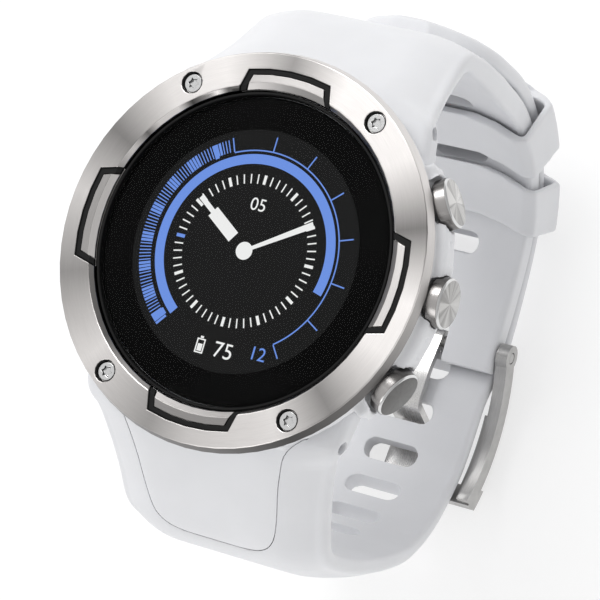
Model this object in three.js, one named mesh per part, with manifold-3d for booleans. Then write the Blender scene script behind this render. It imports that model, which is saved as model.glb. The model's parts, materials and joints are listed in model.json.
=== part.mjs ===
// GPS running watch: polyamide case, steel bezel, three push buttons and a buckled silicone strap.
// Frame, in millimetres: the origin is the centre of the wrist face (the sensor window's flat),
// +Z comes out of the dial, +Y points to 12 o'clock and +X to the buttons at 3 o'clock.
import * as THREE from 'three';
import { mergeVertices } from 'three/addons/utils/BufferGeometryUtils.js';
import Module from 'manifold-3d';

const wasm = await Module();
wasm.setup();

// ---------------------------------------------------------------- driving dimensions
const CASE_HEIGHT = 14.8;
const TOP = CASE_HEIGHT; // height of the bezel's top face
const GAP = 0.3; // clearance where a piece is cut by its neighbour
const FIT = 0.15; // clearance between concentric rings
const RUNNING = 0.08; // clearance of a pin or a stem in its bore

const BEZEL = { outer: 23, flare: 23.4, inner: 19.2, land: 18.7, bottom: TOP - 1.6 };
const BEZEL_SCREW = { circle: 21.18, angle: 34.6, recess: 1.3, head: 1.08, shank: 0.6 };
const INSERT = { outer: 21.08, half: 5.32, halfInner: 5.75, border: 0.7, depth: 1.0 };
const GLASS = { radius: 18.1, top: TOP - 0.55, bottom: TOP - 1.95 };
const GASKET = { inner: 18.2, outer: 18.55 };

const FLANGE = { radius: 23.1, top: TOP - 1.75, bottom: TOP - 3.4 };
const BARREL = { radius: 21.4, flat: 16.1, bottom: TOP - 11.4 };
const CAVITY = 15;
const SIDE = { angle: 38, plain: 22.7, guard: 24.2 };
const TONGUE_THICKNESS = 3;

const BUTTON = { radius: 2.95, height: TOP - 4.75, face: 25, back: 22.9, spread: 27 };
const STEM = { radius: 0.9, end: 15.4 };

const PIN_AXIS = { y: 18.5, z: TOP - 6, radius: 0.7, half: 15.2 };
const LUG = { half: 13, root: 22.4 }; // half width of the case's root and how far it reaches at 12 o'clock

const STRAP_LONG_THICKNESS = 2.4;
const STRAP_SHORT_THICKNESS = 3.4;
const LAYER_GAP = 0.25; // between the short strap and the tail that lies on it
const SLOT = { half: 3.8, width: 3, pitch: 6.5, tailPitch: 6.2, corner: 1.3 };
const KEEPER = { wall: 1.35, side: 0.9, half: 11.8, chamfer: [1.5, 0.9], clearance: 0.25, lean: 5, bow: 6 };

// The strap is arched across its width near 12 o'clock: how far its middle stands out, at lengths along
// the short strap, and the half width over which the arch falls to nothing.
const RISE = [[24, 0], [40, 1.5], [47, 1.8], [64, 1.8], [80, 0]];
const ARCH_HALF = 11;

const BUCKLE_PIN = { y: 0.8, z: TOP - 58.9, radius: 0.7 };
const BUCKLE_ARC = { y: -9.3, z: TOP - 42.9, inner: 17.4, outer: 19.8 };
const BUCKLE_HALF = { inner: 10.4, lip: 9.6, outer: 12 };

// ---------------------------------------------------------------- finishes
const finish = (color, roughness, metalness) => (
  new THREE.MeshStandardMaterial({ color, roughness, metalness })
);
const MATERIALS = {
  steel: finish(0xc9c6c2, 0.32, 1),
  darkSteel: finish(0x8d8985, 0.38, 1),
  polyamide: finish(0xe6e7ea, 0.45, 0),
  silicone: finish(0xdfe0e3, 0.6, 0),
  blackRubber: finish(0x141417, 0.7, 0),
  glass: finish(0x0b0b0d, 0.08, 0),
  display: finish(0x111214, 0.5, 0),
  board: finish(0x1d4a30, 0.5, 0),
  cell: finish(0x9aa0a4, 0.4, 0.6),
  ceramic: finish(0xcdbf9c, 0.6, 0),
  blackPlastic: finish(0x18191b, 0.4, 0),
  gold: finish(0xc9a45a, 0.3, 1),
};

// ---------------------------------------------------------------- solids
// Merges equal corners and drops the flat triangles that a turned solid has on its axis.
function plain(geometry) {
  const copy = geometry.clone();
  copy.deleteAttribute('normal');
  copy.deleteAttribute('uv');
  const merged = mergeVertices(copy, 1e-4);
  const list = Array.from(merged.index.array);
  const kept = [];
  for (let i = 0; i < list.length; i += 3) {
    const [a, b, c] = list.slice(i, i + 3);
    if (a !== b && b !== c && c !== a) kept.push(a, b, c);
  }
  merged.setIndex(kept);
  return merged;
}

function solid(geometry) {
  const merged = plain(geometry);
  return new wasm.Manifold(new wasm.Mesh({
    numProp: 3,
    vertProperties: new Float32Array(merged.attributes.position.array),
    triVerts: new Uint32Array(merged.index.array),
  }));
}

function geometryOf(manifold) {
  const mesh = manifold.getMesh();
  const geometry = new THREE.BufferGeometry();
  geometry.setAttribute('position', new THREE.BufferAttribute(new Float32Array(mesh.vertProperties), 3));
  geometry.setIndex(new THREE.BufferAttribute(new Uint32Array(mesh.triVerts), 1));
  geometry.computeVertexNormals();
  return geometry;
}

const join = (first, ...others) => others.reduce((sum, piece) => sum.add(piece), first);
const cut = (first, ...others) => others.reduce((rest, piece) => rest.subtract(piece), first);

// Moves a geometry: turn is an Euler in degrees (x, y, z), then the shift.
function place(geometry, [x, y, z], [rx, ry, rz] = [0, 0, 0]) {
  const toRadians = THREE.MathUtils.degToRad;
  const turn = new THREE.Euler(toRadians(rx), toRadians(ry), toRadians(rz));
  const matrix = new THREE.Matrix4().makeRotationFromEuler(turn).setPosition(x, y, z);
  return geometry.clone().applyMatrix4(matrix);
}

const box = (x0, x1, y0, y1, z0, z1) => place(
  new THREE.BoxGeometry(x1 - x0, y1 - y0, z1 - z0), [(x0 + x1) / 2, (y0 + y1) / 2, (z0 + z1) / 2]);

function volume(geometry) {
  const p = geometry.attributes.position;
  const v = [0, 1, 2].map(() => new THREE.Vector3());
  let sum = 0;
  for (let i = 0; i < geometry.index.count; i += 3) {
    v.forEach((vector, k) => vector.fromBufferAttribute(p, geometry.index.getX(i + k)));
    sum += v[0].dot(v[1].clone().cross(v[2]));
  }
  return sum;
}

// Turns the triangles round where the solid is inside out.
function outward(geometry) {
  const list = Array.from(geometry.index.array);
  if (volume(geometry) > 0) return geometry;
  for (let i = 0; i < list.length; i += 3) [list[i], list[i + 1]] = [list[i + 1], list[i]];
  geometry.setIndex(list);
  return geometry;
}

// A turned solid about Z from a closed outline of [radius, height].
function turned(profile, segments = 64) {
  const points = [...profile, profile[0]].map(([r, z]) => new THREE.Vector2(r, z));
  return outward(plain(new THREE.LatheGeometry(points, segments).rotateX(Math.PI / 2)));
}

// A ring with a rectangular section.
const ring = (inner, outer, z0, z1, segments = 64) => turned(
  [[inner, z0], [outer, z0], [outer, z1], [inner, z1]], segments);

const disc = (radius, z0, z1, segments = 48) => (
  turned([[0, z0], [radius, z0], [radius, z1], [0, z1]], segments)
);

// A flat outline in XY, raised from z0 to z1.
function raised(outline, z0, z1, steps = 6) {
  const shape = outline instanceof THREE.Shape
    ? outline : new THREE.Shape(outline.map(([x, y]) => new THREE.Vector2(x, y)));
  const options = { depth: z1 - z0, bevelEnabled: false, curveSegments: steps };
  const geometry = new THREE.ExtrudeGeometry(shape, options);
  return geometry.translate(0, 0, z0);
}

// An outline in YZ, extruded from x0 to x1.
function sideCut(outline, x0, x1) {
  const geometry = raised(outline, 0, x1 - x0);
  const axes = new THREE.Matrix4().makeBasis(
    new THREE.Vector3(0, 1, 0), new THREE.Vector3(0, 0, 1), new THREE.Vector3(1, 0, 0));
  return geometry.applyMatrix4(axes).translate(x0, 0, 0);
}

// A round bar along X.
const barAlongX = (radius, y, z, x0, x1, sides = 12) => place(
  new THREE.CylinderGeometry(radius, radius, x1 - x0, sides), [(x0 + x1) / 2, y, z], [0, 0, 90]);

// A round bar along a radius of the dial, at a clock angle in degrees from +X.
function radialBar(radius, angle, height, r0, r1, sides = 20) {
  const bar = new THREE.CylinderGeometry(radius, radius, r1 - r0, sides);
  return bar.rotateZ(-Math.PI / 2).translate((r0 + r1) / 2, 0, height)
    .rotateZ(THREE.MathUtils.degToRad(angle));
}

const rectangle = (w, h, corner) => {
  const shape = new THREE.Shape();
  shape.moveTo(-w / 2 + corner, -h / 2);
  shape.lineTo(w / 2 - corner, -h / 2);
  shape.absarc(w / 2 - corner, -h / 2 + corner, corner, -Math.PI / 2, 0);
  shape.lineTo(w / 2, h / 2 - corner);
  shape.absarc(w / 2 - corner, h / 2 - corner, corner, 0, Math.PI / 2);
  shape.lineTo(-w / 2 + corner, h / 2);
  shape.absarc(-w / 2 + corner, h / 2 - corner, corner, Math.PI / 2, Math.PI);
  shape.lineTo(-w / 2, -h / 2 + corner);
  shape.absarc(-w / 2 + corner, -h / 2 + corner, corner, Math.PI, Math.PI * 1.5);
  return shape;
};

// ---------------------------------------------------------------- strap paths, in the YZ plane
// A path is a list of { y, z, heading, s }: heading in degrees from +Y towards +Z, s the length so far.
const STEP = 3.4;
const MAX_TURN = 9;

// Walks from a start along straight runs [length] and arcs [radius, turn in degrees].
function walk(start, heading, moves) {
  const path = [{ ...start, heading, s: 0 }];
  for (const [size, turn] of moves) {
    const length = turn === undefined ? size : size * Math.abs(THREE.MathUtils.degToRad(turn));
    const count = Math.max(1, Math.ceil(length / STEP), Math.ceil(Math.abs(turn ?? 0) / MAX_TURN));
    for (let i = 0; i < count; i += 1) {
      const last = path[path.length - 1];
      const bend = (turn ?? 0) / count;
      const chord = turn === undefined ? length / count
        : 2 * size * Math.sin(THREE.MathUtils.degToRad(Math.abs(bend) / 2));
      const along = THREE.MathUtils.degToRad(last.heading + bend / 2);
      path.push({
        y: last.y + chord * Math.cos(along),
        z: last.z + chord * Math.sin(along),
        heading: last.heading + bend,
        s: last.s + length / count,
      });
    }
  }
  return path;
}

// The same path moved sideways: a positive distance is to the right of the heading.
const offset = (path, distance) => path.map((p) => {
  const h = THREE.MathUtils.degToRad(p.heading);
  return { ...p, y: p.y + distance * Math.sin(h), z: p.z - distance * Math.cos(h) };
});

// Recomputes the lengths after paths are joined.
function measured(points) {
  let s = 0;
  return points.map((p, i) => {
    if (i > 0) s += Math.hypot(p.y - points[i - 1].y, p.z - points[i - 1].z);
    return { ...p, s };
  });
}

// A smooth S between two path points.
function bridge(a, b, count) {
  const pull = Math.hypot(b.y - a.y, b.z - a.z) / 2.4;
  const unit = (p) => {
    const heading = THREE.MathUtils.degToRad(p.heading);
    return [Math.cos(heading), Math.sin(heading)];
  };
  const [ay, az] = unit(a);
  const [by, bz] = unit(b);
  const curve = new THREE.CubicBezierCurve(
    new THREE.Vector2(a.y, a.z), new THREE.Vector2(a.y + ay * pull, a.z + az * pull),
    new THREE.Vector2(b.y - by * pull, b.z - bz * pull), new THREE.Vector2(b.y, b.z));
  return Array.from({ length: count - 1 }, (_, i) => {
    const t = (i + 1) / count;
    const p = curve.getPoint(t);
    const d = curve.getTangent(t);
    return { y: p.x, z: p.y, heading: THREE.MathUtils.radToDeg(Math.atan2(d.y, d.x)) };
  });
}

// Straight interpolation in a table of [at, value].
function graded(table, at) {
  if (at <= table[0][0]) return table[0][1];
  for (let i = 1; i < table.length; i += 1) {
    const [x1, v1] = table[i];
    if (at <= x1) {
      const [x0, v0] = table[i - 1];
      return v0 + (v1 - v0) * (at - x0) / (x1 - x0);
    }
  }
  return table[table.length - 1][1];
}

const arch = (x) => Math.max(0, 1 - (x / ARCH_HALF) ** 2);

// Outer surface of the short strap: from under the bezel at 12 o'clock down to the buckle pin.
const LUG_START = { y: 14.2, z: TOP - 3.5 };
const SHORT_ARC = { radius: 21.2, from: -93.6, to: -170 };
const TAIL_TIP_AT = -91.3; // heading of the short strap where the tail on it ends
const LEAD_RADIUS = 350;
const shortOuter = walk(LUG_START, 0, [
  [4.2], [5.5, -45], [10.6], [8, -45],
  [LEAD_RADIUS, TAIL_TIP_AT + 90], [LEAD_RADIUS, SHORT_ARC.from - TAIL_TIP_AT],
  [SHORT_ARC.radius, SHORT_ARC.to - SHORT_ARC.from], [60, -9], [6.4],
]).map((p) => ({ ...p, rise: graded(RISE, p.s) }));
// Centre of the strap's round stretch, about which a keeper slides.
const arcStart = shortOuter.find((p) => Math.abs(p.heading - SHORT_ARC.from) < 0.01);
const ARC_CENTRE = offset([arcStart], SHORT_ARC.radius)[0];

// Outer surface of the long strap: from under the bezel at 6 o'clock down and round to the buckle.
const longStart = walk({ y: -LUG_START.y, z: LUG_START.z }, 180, [
  [4.2], [5.5, 45], [12.4], [9, 45], [92, 16], [20, 66], [60, 6],
]);
// The tail lies on the short strap: its outer surface is one strap thickness outside it.
const tailOuter = offset(shortOuter, -(LAYER_GAP + STRAP_LONG_THICKNESS))
  .filter((p) => p.heading < TAIL_TIP_AT + 0.01 && p.y > 1)
  .map((p) => ({ ...p, heading: p.heading + 180 }))
  .reverse();
const longOuter = measured([
  ...longStart,
  ...bridge(longStart[longStart.length - 1], { ...tailOuter[0], heading: 0 }, 8),
  ...tailOuter,
]);

const at = (path, s) => {
  const i = Math.max(1, path.findIndex((p) => p.s >= s));
  const [a, b] = [path[i - 1], path[i]];
  const t = (s - a.s) / (b.s - a.s);
  const mix = (u, v) => u + (v - u) * t;
  return { y: mix(a.y, b.y), z: mix(a.z, b.z), heading: mix(a.heading, b.heading), s };
};

// Lofts a strap along a path of its outer surface. section(s) gives half the width, the thickness and
// how far the edges lie below the middle; side is +1 where the outside is to the right of the heading.
// Where the path has a rise, the whole section is arched by it.
function strapLoft(path, side, section) {
  const rings = path.map((p) => {
    const { half, thickness, crown } = section(p.s);
    const crease = half - Math.min(1.2, 0.5 + crown * 0.4);
    const inside = Math.max(thickness, crown + 1.3);
    const right = [
      [crease * 0.34, 0], [crease * 0.68, 0], [crease * 0.88, crown * 0.45], [crease, crown],
      [half, crown + 0.8], [half, Math.max(thickness - 0.5, crown + 1)], [half - 0.5, inside],
      [crease * 0.68, inside], [crease * 0.34, inside],
    ];
    const left = [...right].reverse().map(([x, d]) => [-x, d]);
    const h = THREE.MathUtils.degToRad(p.heading);
    return [...right, ...left].map(([x, d]) => {
      const depth = side * (d - (p.rise ?? 0) * arch(x));
      return new THREE.Vector3(x, p.y - depth * Math.sin(h), p.z + depth * Math.cos(h));
    });
  });
  return loft(rings);
}

// Joins closed rings of equal length into one solid with flat ends.
function loft(rings) {
  const size = rings[0].length;
  const positions = rings.flat().flatMap((v) => [v.x, v.y, v.z]);
  const index = [];
  for (let i = 0; i + 1 < rings.length; i += 1) {
    for (let j = 0; j < size; j += 1) {
      const a = i * size + j;
      const b = i * size + ((j + 1) % size);
      index.push(a, b, b + size, a, b + size, a + size);
    }
  }
  const last = (rings.length - 1) * size;
  for (let j = 1; j + 1 < size; j += 1) {
    index.push(0, j + 1, j);
    index.push(last, last + j, last + j + 1);
  }
  const geometry = new THREE.BufferGeometry();
  geometry.setAttribute('position', new THREE.Float32BufferAttribute(positions, 3));
  geometry.setIndex(index);
  return outward(geometry);
}

// A slot cutter square to the strap: long side along X.
function slotCutter(path, s) {
  const p = at(path, s);
  const h = THREE.MathUtils.degToRad(p.heading);
  const cutter = raised(rectangle(2 * SLOT.half, SLOT.width, SLOT.corner), -6, 6, 2);
  const axes = new THREE.Matrix4().makeBasis(
    new THREE.Vector3(1, 0, 0),
    new THREE.Vector3(0, Math.cos(h), Math.sin(h)),
    new THREE.Vector3(0, -Math.sin(h), Math.cos(h)));
  return solid(cutter.applyMatrix4(axes).translate(0, p.y, p.z));
}

// ---------------------------------------------------------------- the lug tongue and the strap's fork
// Plan outline of what the case holds a strap end with, grown by a clearance. At 6 o'clock it is a root
// under the bezel that runs out into a long tongue with a round tip; at 12 o'clock it is the root alone.
function lugPlan(at12, grow) {
  const tongueSide = [[LUG.half, -18.7], [11.9, -19.7], [11.1, -20.6], [10.5, -21.7], [10.1, -22.9],
    [9.4, -25.2], [9, -27.6], [8.5, -29.8], [7.9, -31.1], [6.6, -32], [4.5, -32.4]];
  const right = at12
    ? [LUG.half + grow, 10, 6, 2].map((x) => [x, -Math.sqrt((LUG.root + grow) ** 2 - x ** 2)])
    : tongueSide.map(([x, y]) => [x + grow, y - (y < -31 ? grow : 0)]);
  const start = [[-LUG.half - grow, -14], [LUG.half + grow, -14]];
  return flipPlan([...start, ...right, ...right.map(([x, y]) => [-x, y]).reverse()], at12);
}

const mirrorY = (outline, mirrored) => (mirrored ? outline.map(([a, b]) => [-a, b]).reverse() : outline);
const flipPlan = (outline, flipped) => (flipped ? outline.map(([x, y]) => [x, -y]).reverse() : outline);

// The tongue at 6 o'clock continues the strap's outer surface and is of even thickness.
function tongue() {
  const outside = longStart.filter((p) => p.z > TOP - 17.5);
  const inside = offset(outside, -TONGUE_THICKNESS).reverse();
  const wide = solid(sideCut([...outside, ...inside].map((p) => [p.y, p.z]), -LUG.half, LUG.half));
  return wide.intersect(solid(raised(lugPlan(false, 0), TOP - 20, TOP)));
}

// The room that the case needs inside a strap end: its root or tongue, the barrel and the flange.
function lugClearance(at12) {
  const notch = solid(raised(lugPlan(at12, GAP), TOP - 19, TOP));
  const y = at12 ? [12, BARREL.flat + GAP] : [-BARREL.flat - GAP, -12];
  return join(
    notch,
    solid(disc(FLANGE.radius + 0.5, FLANGE.bottom - GAP, TOP, 56)),
    solid(box(-BARREL.radius, BARREL.radius, y[0], y[1], TOP - 14, TOP))
      .intersect(solid(disc(BARREL.radius + GAP, TOP - 14, TOP, 56))));
}

// ---------------------------------------------------------------- strap
const WIDTH_AT_LUG = [[0, 17.6], [6, 16.6], [10, 15.5], [14, 14.7], [18, 14.1], [24, 13.7], [30, 13.2]];
const CROWN = [[0, 0.4], [5, 0.9], [9, 1.9], [14, 1.9], [24, 1.7]];
const longLength = longOuter[longOuter.length - 1].s;
const TIP = 9; // length of the tail's round end

function longSection(s) {
  const body = graded([...WIDTH_AT_LUG, [44, 11.9], [60, 10.5], [70, 10]], s);
  const left = Math.max(0, s - (longLength - TIP)) / TIP;
  return {
    half: left > 0 ? Math.max(2.6, body * Math.sqrt(1 - left * left)) : body,
    thickness: graded([[0, 4], [16, 4.2], [30, 3.7], [60, 3.1], [72, STRAP_LONG_THICKNESS]], s),
    crown: graded([...CROWN, [34, 1.4], [60, 0.8], [76, 0.3], [longLength, 0.2]], s),
  };
}

function shortSection(s) {
  return {
    half: graded([...WIDTH_AT_LUG, [42, 11.6], [49, 10.7], [74, 10.4], [88, 10.1]], s),
    thickness: graded([[0, 4], [20, 3.7], [40, STRAP_SHORT_THICKNESS]], s),
    crown: graded([...CROWN.slice(0, 4), [30, 0.6], [40, 0.1], [90, 0.1]], s),
  };
}

// Where the slots of the long strap sit: the tang stands in the one nearest to the buckle.
const TANG_SLOT = longStart[longStart.length - 1].s - 1.8;
const LONG_SLOTS = [
  ...[-4, -3, -2, -1, 0].map((i) => TANG_SLOT + i * SLOT.pitch),
  ...[1, 2, 3, 4, 5, 6, 7, 8].map((i) => TANG_SLOT - 0.8 + i * SLOT.tailPitch),
];
const SHORT_SLOTS = [75, 61.2, 49.8];

function strapLong() {
  const body = solid(strapLoft(longOuter, 1, longSection));
  return cut(body, lugClearance(false),
    solid(barAlongX(PIN_AXIS.radius + RUNNING, -PIN_AXIS.y, PIN_AXIS.z, -20, 20)),
    ...LONG_SLOTS.map((s) => slotCutter(longOuter, s)));
}

function strapShort() {
  const body = solid(strapLoft(shortOuter, -1, shortSection));
  const fork = solid(box(-2.9, 2.9, -4, 4.6, TOP - 62, TOP - 53));
  const underEnd = [[3, TOP - 60.9], [-3, TOP - 58.95], [-3, TOP - 63], [3, TOP - 63]];
  const endBevel = solid(sideCut(underEnd, -15, 15));
  return cut(body, lugClearance(true), fork, endBevel,
    solid(barAlongX(PIN_AXIS.radius + RUNNING, PIN_AXIS.y, PIN_AXIS.z, -20, 20)),
    solid(barAlongX(BUCKLE_PIN.radius + RUNNING, BUCKLE_PIN.y, BUCKLE_PIN.z, -20, 20)),
    ...SHORT_SLOTS.map((s) => slotCutter(shortOuter, s)));
}

// A keeper loops round both strap layers, as a stretch of the strap's round part. Its walls follow the
// strap's arch, its outer wall leans away from the case, and its edges bow towards the case in the middle.
// from and to are headings of the short strap, in degrees.
function keeper(from, to) {
  const { wall, side, half, chamfer, clearance, lean, bow } = KEEPER;
  const inside = SHORT_ARC.radius - STRAP_SHORT_THICKNESS - clearance;
  const outside = SHORT_ARC.radius + LAYER_GAP + STRAP_LONG_THICKNESS + clearance;
  const ringAt = (outline, heading, tilt) => outline.map(([x, r]) => {
    const turn = heading + bow * arch(x) - tilt * (r - inside) / (outside - inside);
    const length = arcStart.s + THREE.MathUtils.degToRad(SHORT_ARC.from - turn) * SHORT_ARC.radius;
    const radius = r + graded(RISE, length) * arch(x);
    const a = THREE.MathUtils.degToRad(turn + 90);
    return new THREE.Vector3(x, ARC_CENTRE.y + radius * Math.cos(a), ARC_CENTRE.z + radius * Math.sin(a));
  });
  const block = (halfWidth, low, high, [cx, cr], a0, a1) => {
    const across = [1, 0.66, 0.33, -0.33, -0.66, -1].map((k) => k * (halfWidth - cx));
    const corners = cx > 0 ? [[-halfWidth, high - cr], [-halfWidth, low + cr]] : [];
    const outline = [
      ...across.map((x) => [x, high]), ...corners,
      ...[...across].reverse().map((x) => [x, low]), ...corners.map(([x, r]) => [-x, r]).reverse(),
    ];
    const count = Math.ceil((a0 - a1) / 5);
    return solid(loft(Array.from({ length: count + 1 }, (_, i) => (
      ringAt(outline, a0 + (a1 - a0) * i / count, lean * (1 - i / count))))));
  };
  return cut(
    block(half, inside - wall, outside + wall, chamfer, from, to),
    block(half - side, inside, outside, [0, 0], from + 10, to - 10));
}

// ---------------------------------------------------------------- buckle
const buckleAngle = (y, r) => -Math.acos((y - BUCKLE_ARC.y) / r);

// A YZ outline between two radii of the buckle's arc, from one y to another.
function buckleArc(r0, r1, y0, y1, steps = 10) {
  const shape = new THREE.Shape();
  shape.absarc(BUCKLE_ARC.y, BUCKLE_ARC.z, r1, buckleAngle(y0, r1), buckleAngle(y1, r1), false);
  shape.absarc(BUCKLE_ARC.y, BUCKLE_ARC.z, r0, buckleAngle(y1, r0), buckleAngle(y0, r0), true);
  return shape.getPoints(steps).slice(0, -1).map((p) => [p.x, p.y]);
}

function buckleFrame() {
  const { inner, outer } = BUCKLE_ARC;
  const sides = [-1, 1].map((sign) => {
    const span = (from, to) => [sign * from, sign * to].sort((p, q) => p - q);
    const [a, b] = span(BUCKLE_HALF.inner, BUCKLE_HALF.outer);
    const lip = span(BUCKLE_HALF.lip, BUCKLE_HALF.outer);
    return join(
      solid(sideCut(buckleArc(inner, outer, -19.4, 0.6), a, b)),
      solid(sideCut(buckleArc(outer - 1.3, outer, -19.4, -7), ...lip)),
      solid(barAlongX(1.7, BUCKLE_PIN.y, BUCKLE_PIN.z, a, b, 20)));
  });
  const across = [-BUCKLE_HALF.outer, BUCKLE_HALF.outer];
  const farBar = solid(sideCut(buckleArc(18.4, 20.6, -19.4, -16.6, 4), ...across));
  const tangSeat = solid(sideCut(buckleArc(19.55, 22, -20.5, -15.5, 4), -2.7, 2.7));
  return cut(join(farBar, ...sides), tangSeat,
    solid(barAlongX(BUCKLE_PIN.radius + RUNNING, BUCKLE_PIN.y, BUCKLE_PIN.z, -20, 20)));
}

// The tang: an eye on the pin, a flat plate inside the strap, a step down through the slot and a tip.
function buckleTang() {
  const { y, z } = BUCKLE_PIN;
  const plate = [
    [y, z + 1.5], [-3, z + 2.5], [-7.6, z + 2.9], [-8.8, z + 2.4], [-11, z - 3.2], [-18.9, z - 2],
    [-19.1, z - 3.1], [-11.6, z - 4.35], [-10.3, z - 4.1], [-8, z + 1.6], [-7.4, z + 1.8], [-3, z + 1.4],
    [y, z + 0.3],
  ];
  return cut(
    join(solid(sideCut(plate, -2.3, 2.3)), solid(barAlongX(1.5, y, z, -2.3, 2.3, 20))),
    solid(barAlongX(BUCKLE_PIN.radius + RUNNING, y, z, -5, 5)));
}

// ---------------------------------------------------------------- bezel and its inserts
const QUARTERS = [0, 90, 180, 270];

// Plan outline of the notch at 3 o'clock; shrink takes a border off its three closed sides.
function insertPlan(shrink) {
  const half = INSERT.half - shrink;
  const inner = INSERT.halfInner - shrink * 1.05;
  const r = INSERT.outer - shrink;
  const outer = [-1, -0.5, 0, 0.5, 1].map((k) => {
    const angle = Math.asin(half / r) * k;
    return [r * Math.cos(angle), r * Math.sin(angle)];
  });
  return [[16.5, -inner - 0.5], ...outer, [16.5, inner + 0.5]];
}

const turnedPlan = (outline, degrees) => {
  const a = THREE.MathUtils.degToRad(degrees);
  return outline.map(([x, y]) => [x * Math.cos(a) - y * Math.sin(a), x * Math.sin(a) + y * Math.cos(a)]);
};

const BEZEL_SCREW_ANGLES = [
  90 - BEZEL_SCREW.angle, 90 + BEZEL_SCREW.angle, 270 - BEZEL_SCREW.angle, 270 + BEZEL_SCREW.angle];
const onCircle = (radius, degrees) => {
  const a = THREE.MathUtils.degToRad(degrees);
  return [radius * Math.cos(a), radius * Math.sin(a)];
};

function bezel() {
  const body = solid(turned([
    [BEZEL.inner, TOP], [BEZEL.outer, TOP], [BEZEL.flare, TOP - 1.35], [BEZEL.flare, BEZEL.bottom],
    [BEZEL.land, BEZEL.bottom], [BEZEL.land, TOP - 0.5]], 64));
  const notches = QUARTERS.map((quarter) => solid(
    raised(turnedPlan(insertPlan(0), quarter), TOP - INSERT.depth, TOP + 1)));
  const holes = BEZEL_SCREW_ANGLES.flatMap((angle) => {
    const [x, y] = onCircle(BEZEL_SCREW.circle, angle);
    return [
      solid(disc(BEZEL_SCREW.recess, TOP - 1, TOP + 1, 16).translate(x, y, 0)),
      solid(disc(BEZEL_SCREW.shank + FIT, TOP - 3, TOP, 12).translate(x, y, 0)),
    ];
  });
  return cut(body, ...notches, ...holes);
}

// The bright plate in a notch: a flat outer band and an inner band that slopes to the glass.
function insertPlate(quarter) {
  const profile = turned([[18.75, TOP - 0.62], [19.5, TOP - 0.12], [21.5, TOP - 0.12],
    [21.5, TOP - 0.85], [18.75, TOP - 0.85]], 64);
  return solid(profile).intersect(solid(raised(
    turnedPlan(insertPlan(INSERT.border), quarter), TOP - 2, TOP + 1)));
}

// The black seal that frames the plate on its three closed sides.
function insertSeal(quarter) {
  const band = solid(turned([[18.75, TOP - 0.85], [18.75, TOP - 0.55], [19.2, TOP - 0.2], [21.5, TOP - 0.2],
    [21.5, TOP - 0.85]], 64));
  const outside = solid(raised(turnedPlan(insertPlan(0.06), quarter), TOP - 2, TOP + 1));
  const inside = solid(raised(turnedPlan(insertPlan(INSERT.border - 0.08), quarter), TOP - 2, TOP + 1));
  return band.intersect(outside).subtract(inside);
}

// A screw that points down from its head's top at the origin: six-lobed socket, plain shank.
function torxScrew(headRadius, headHeight, shankRadius, length) {
  const body = turned([[0, -length], [shankRadius, -length], [shankRadius, -headHeight],
    [headRadius, -headHeight], [headRadius, 0], [0, 0]], 18);
  const lobes = Array.from({ length: 18 }, (_, i) => {
    const a = (i / 18) * 2 * Math.PI;
    const r = headRadius * (0.5 + 0.13 * Math.cos(6 * a));
    return [r * Math.cos(a), r * Math.sin(a)];
  });
  return geometryOf(solid(body).subtract(solid(raised(lobes, -headHeight * 0.6, 1))));
}

// ---------------------------------------------------------------- case
// A sector of a turned ring, centred on an angle.
const sector = (profile, centre, half) => {
  const full = solid(turned(profile, 64));
  const reach = 40;
  const a = THREE.MathUtils.degToRad(half);
  const wedge = turnedPlan([[0, 0], [reach, -reach * Math.tan(a)], [reach, reach * Math.tan(a)]], centre);
  return full.intersect(solid(raised(wedge, TOP - 20, TOP + 5)));
};

const BUTTON_ANGLES = { upper: BUTTON.spread, middle: 0, lower: -BUTTON.spread };

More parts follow.
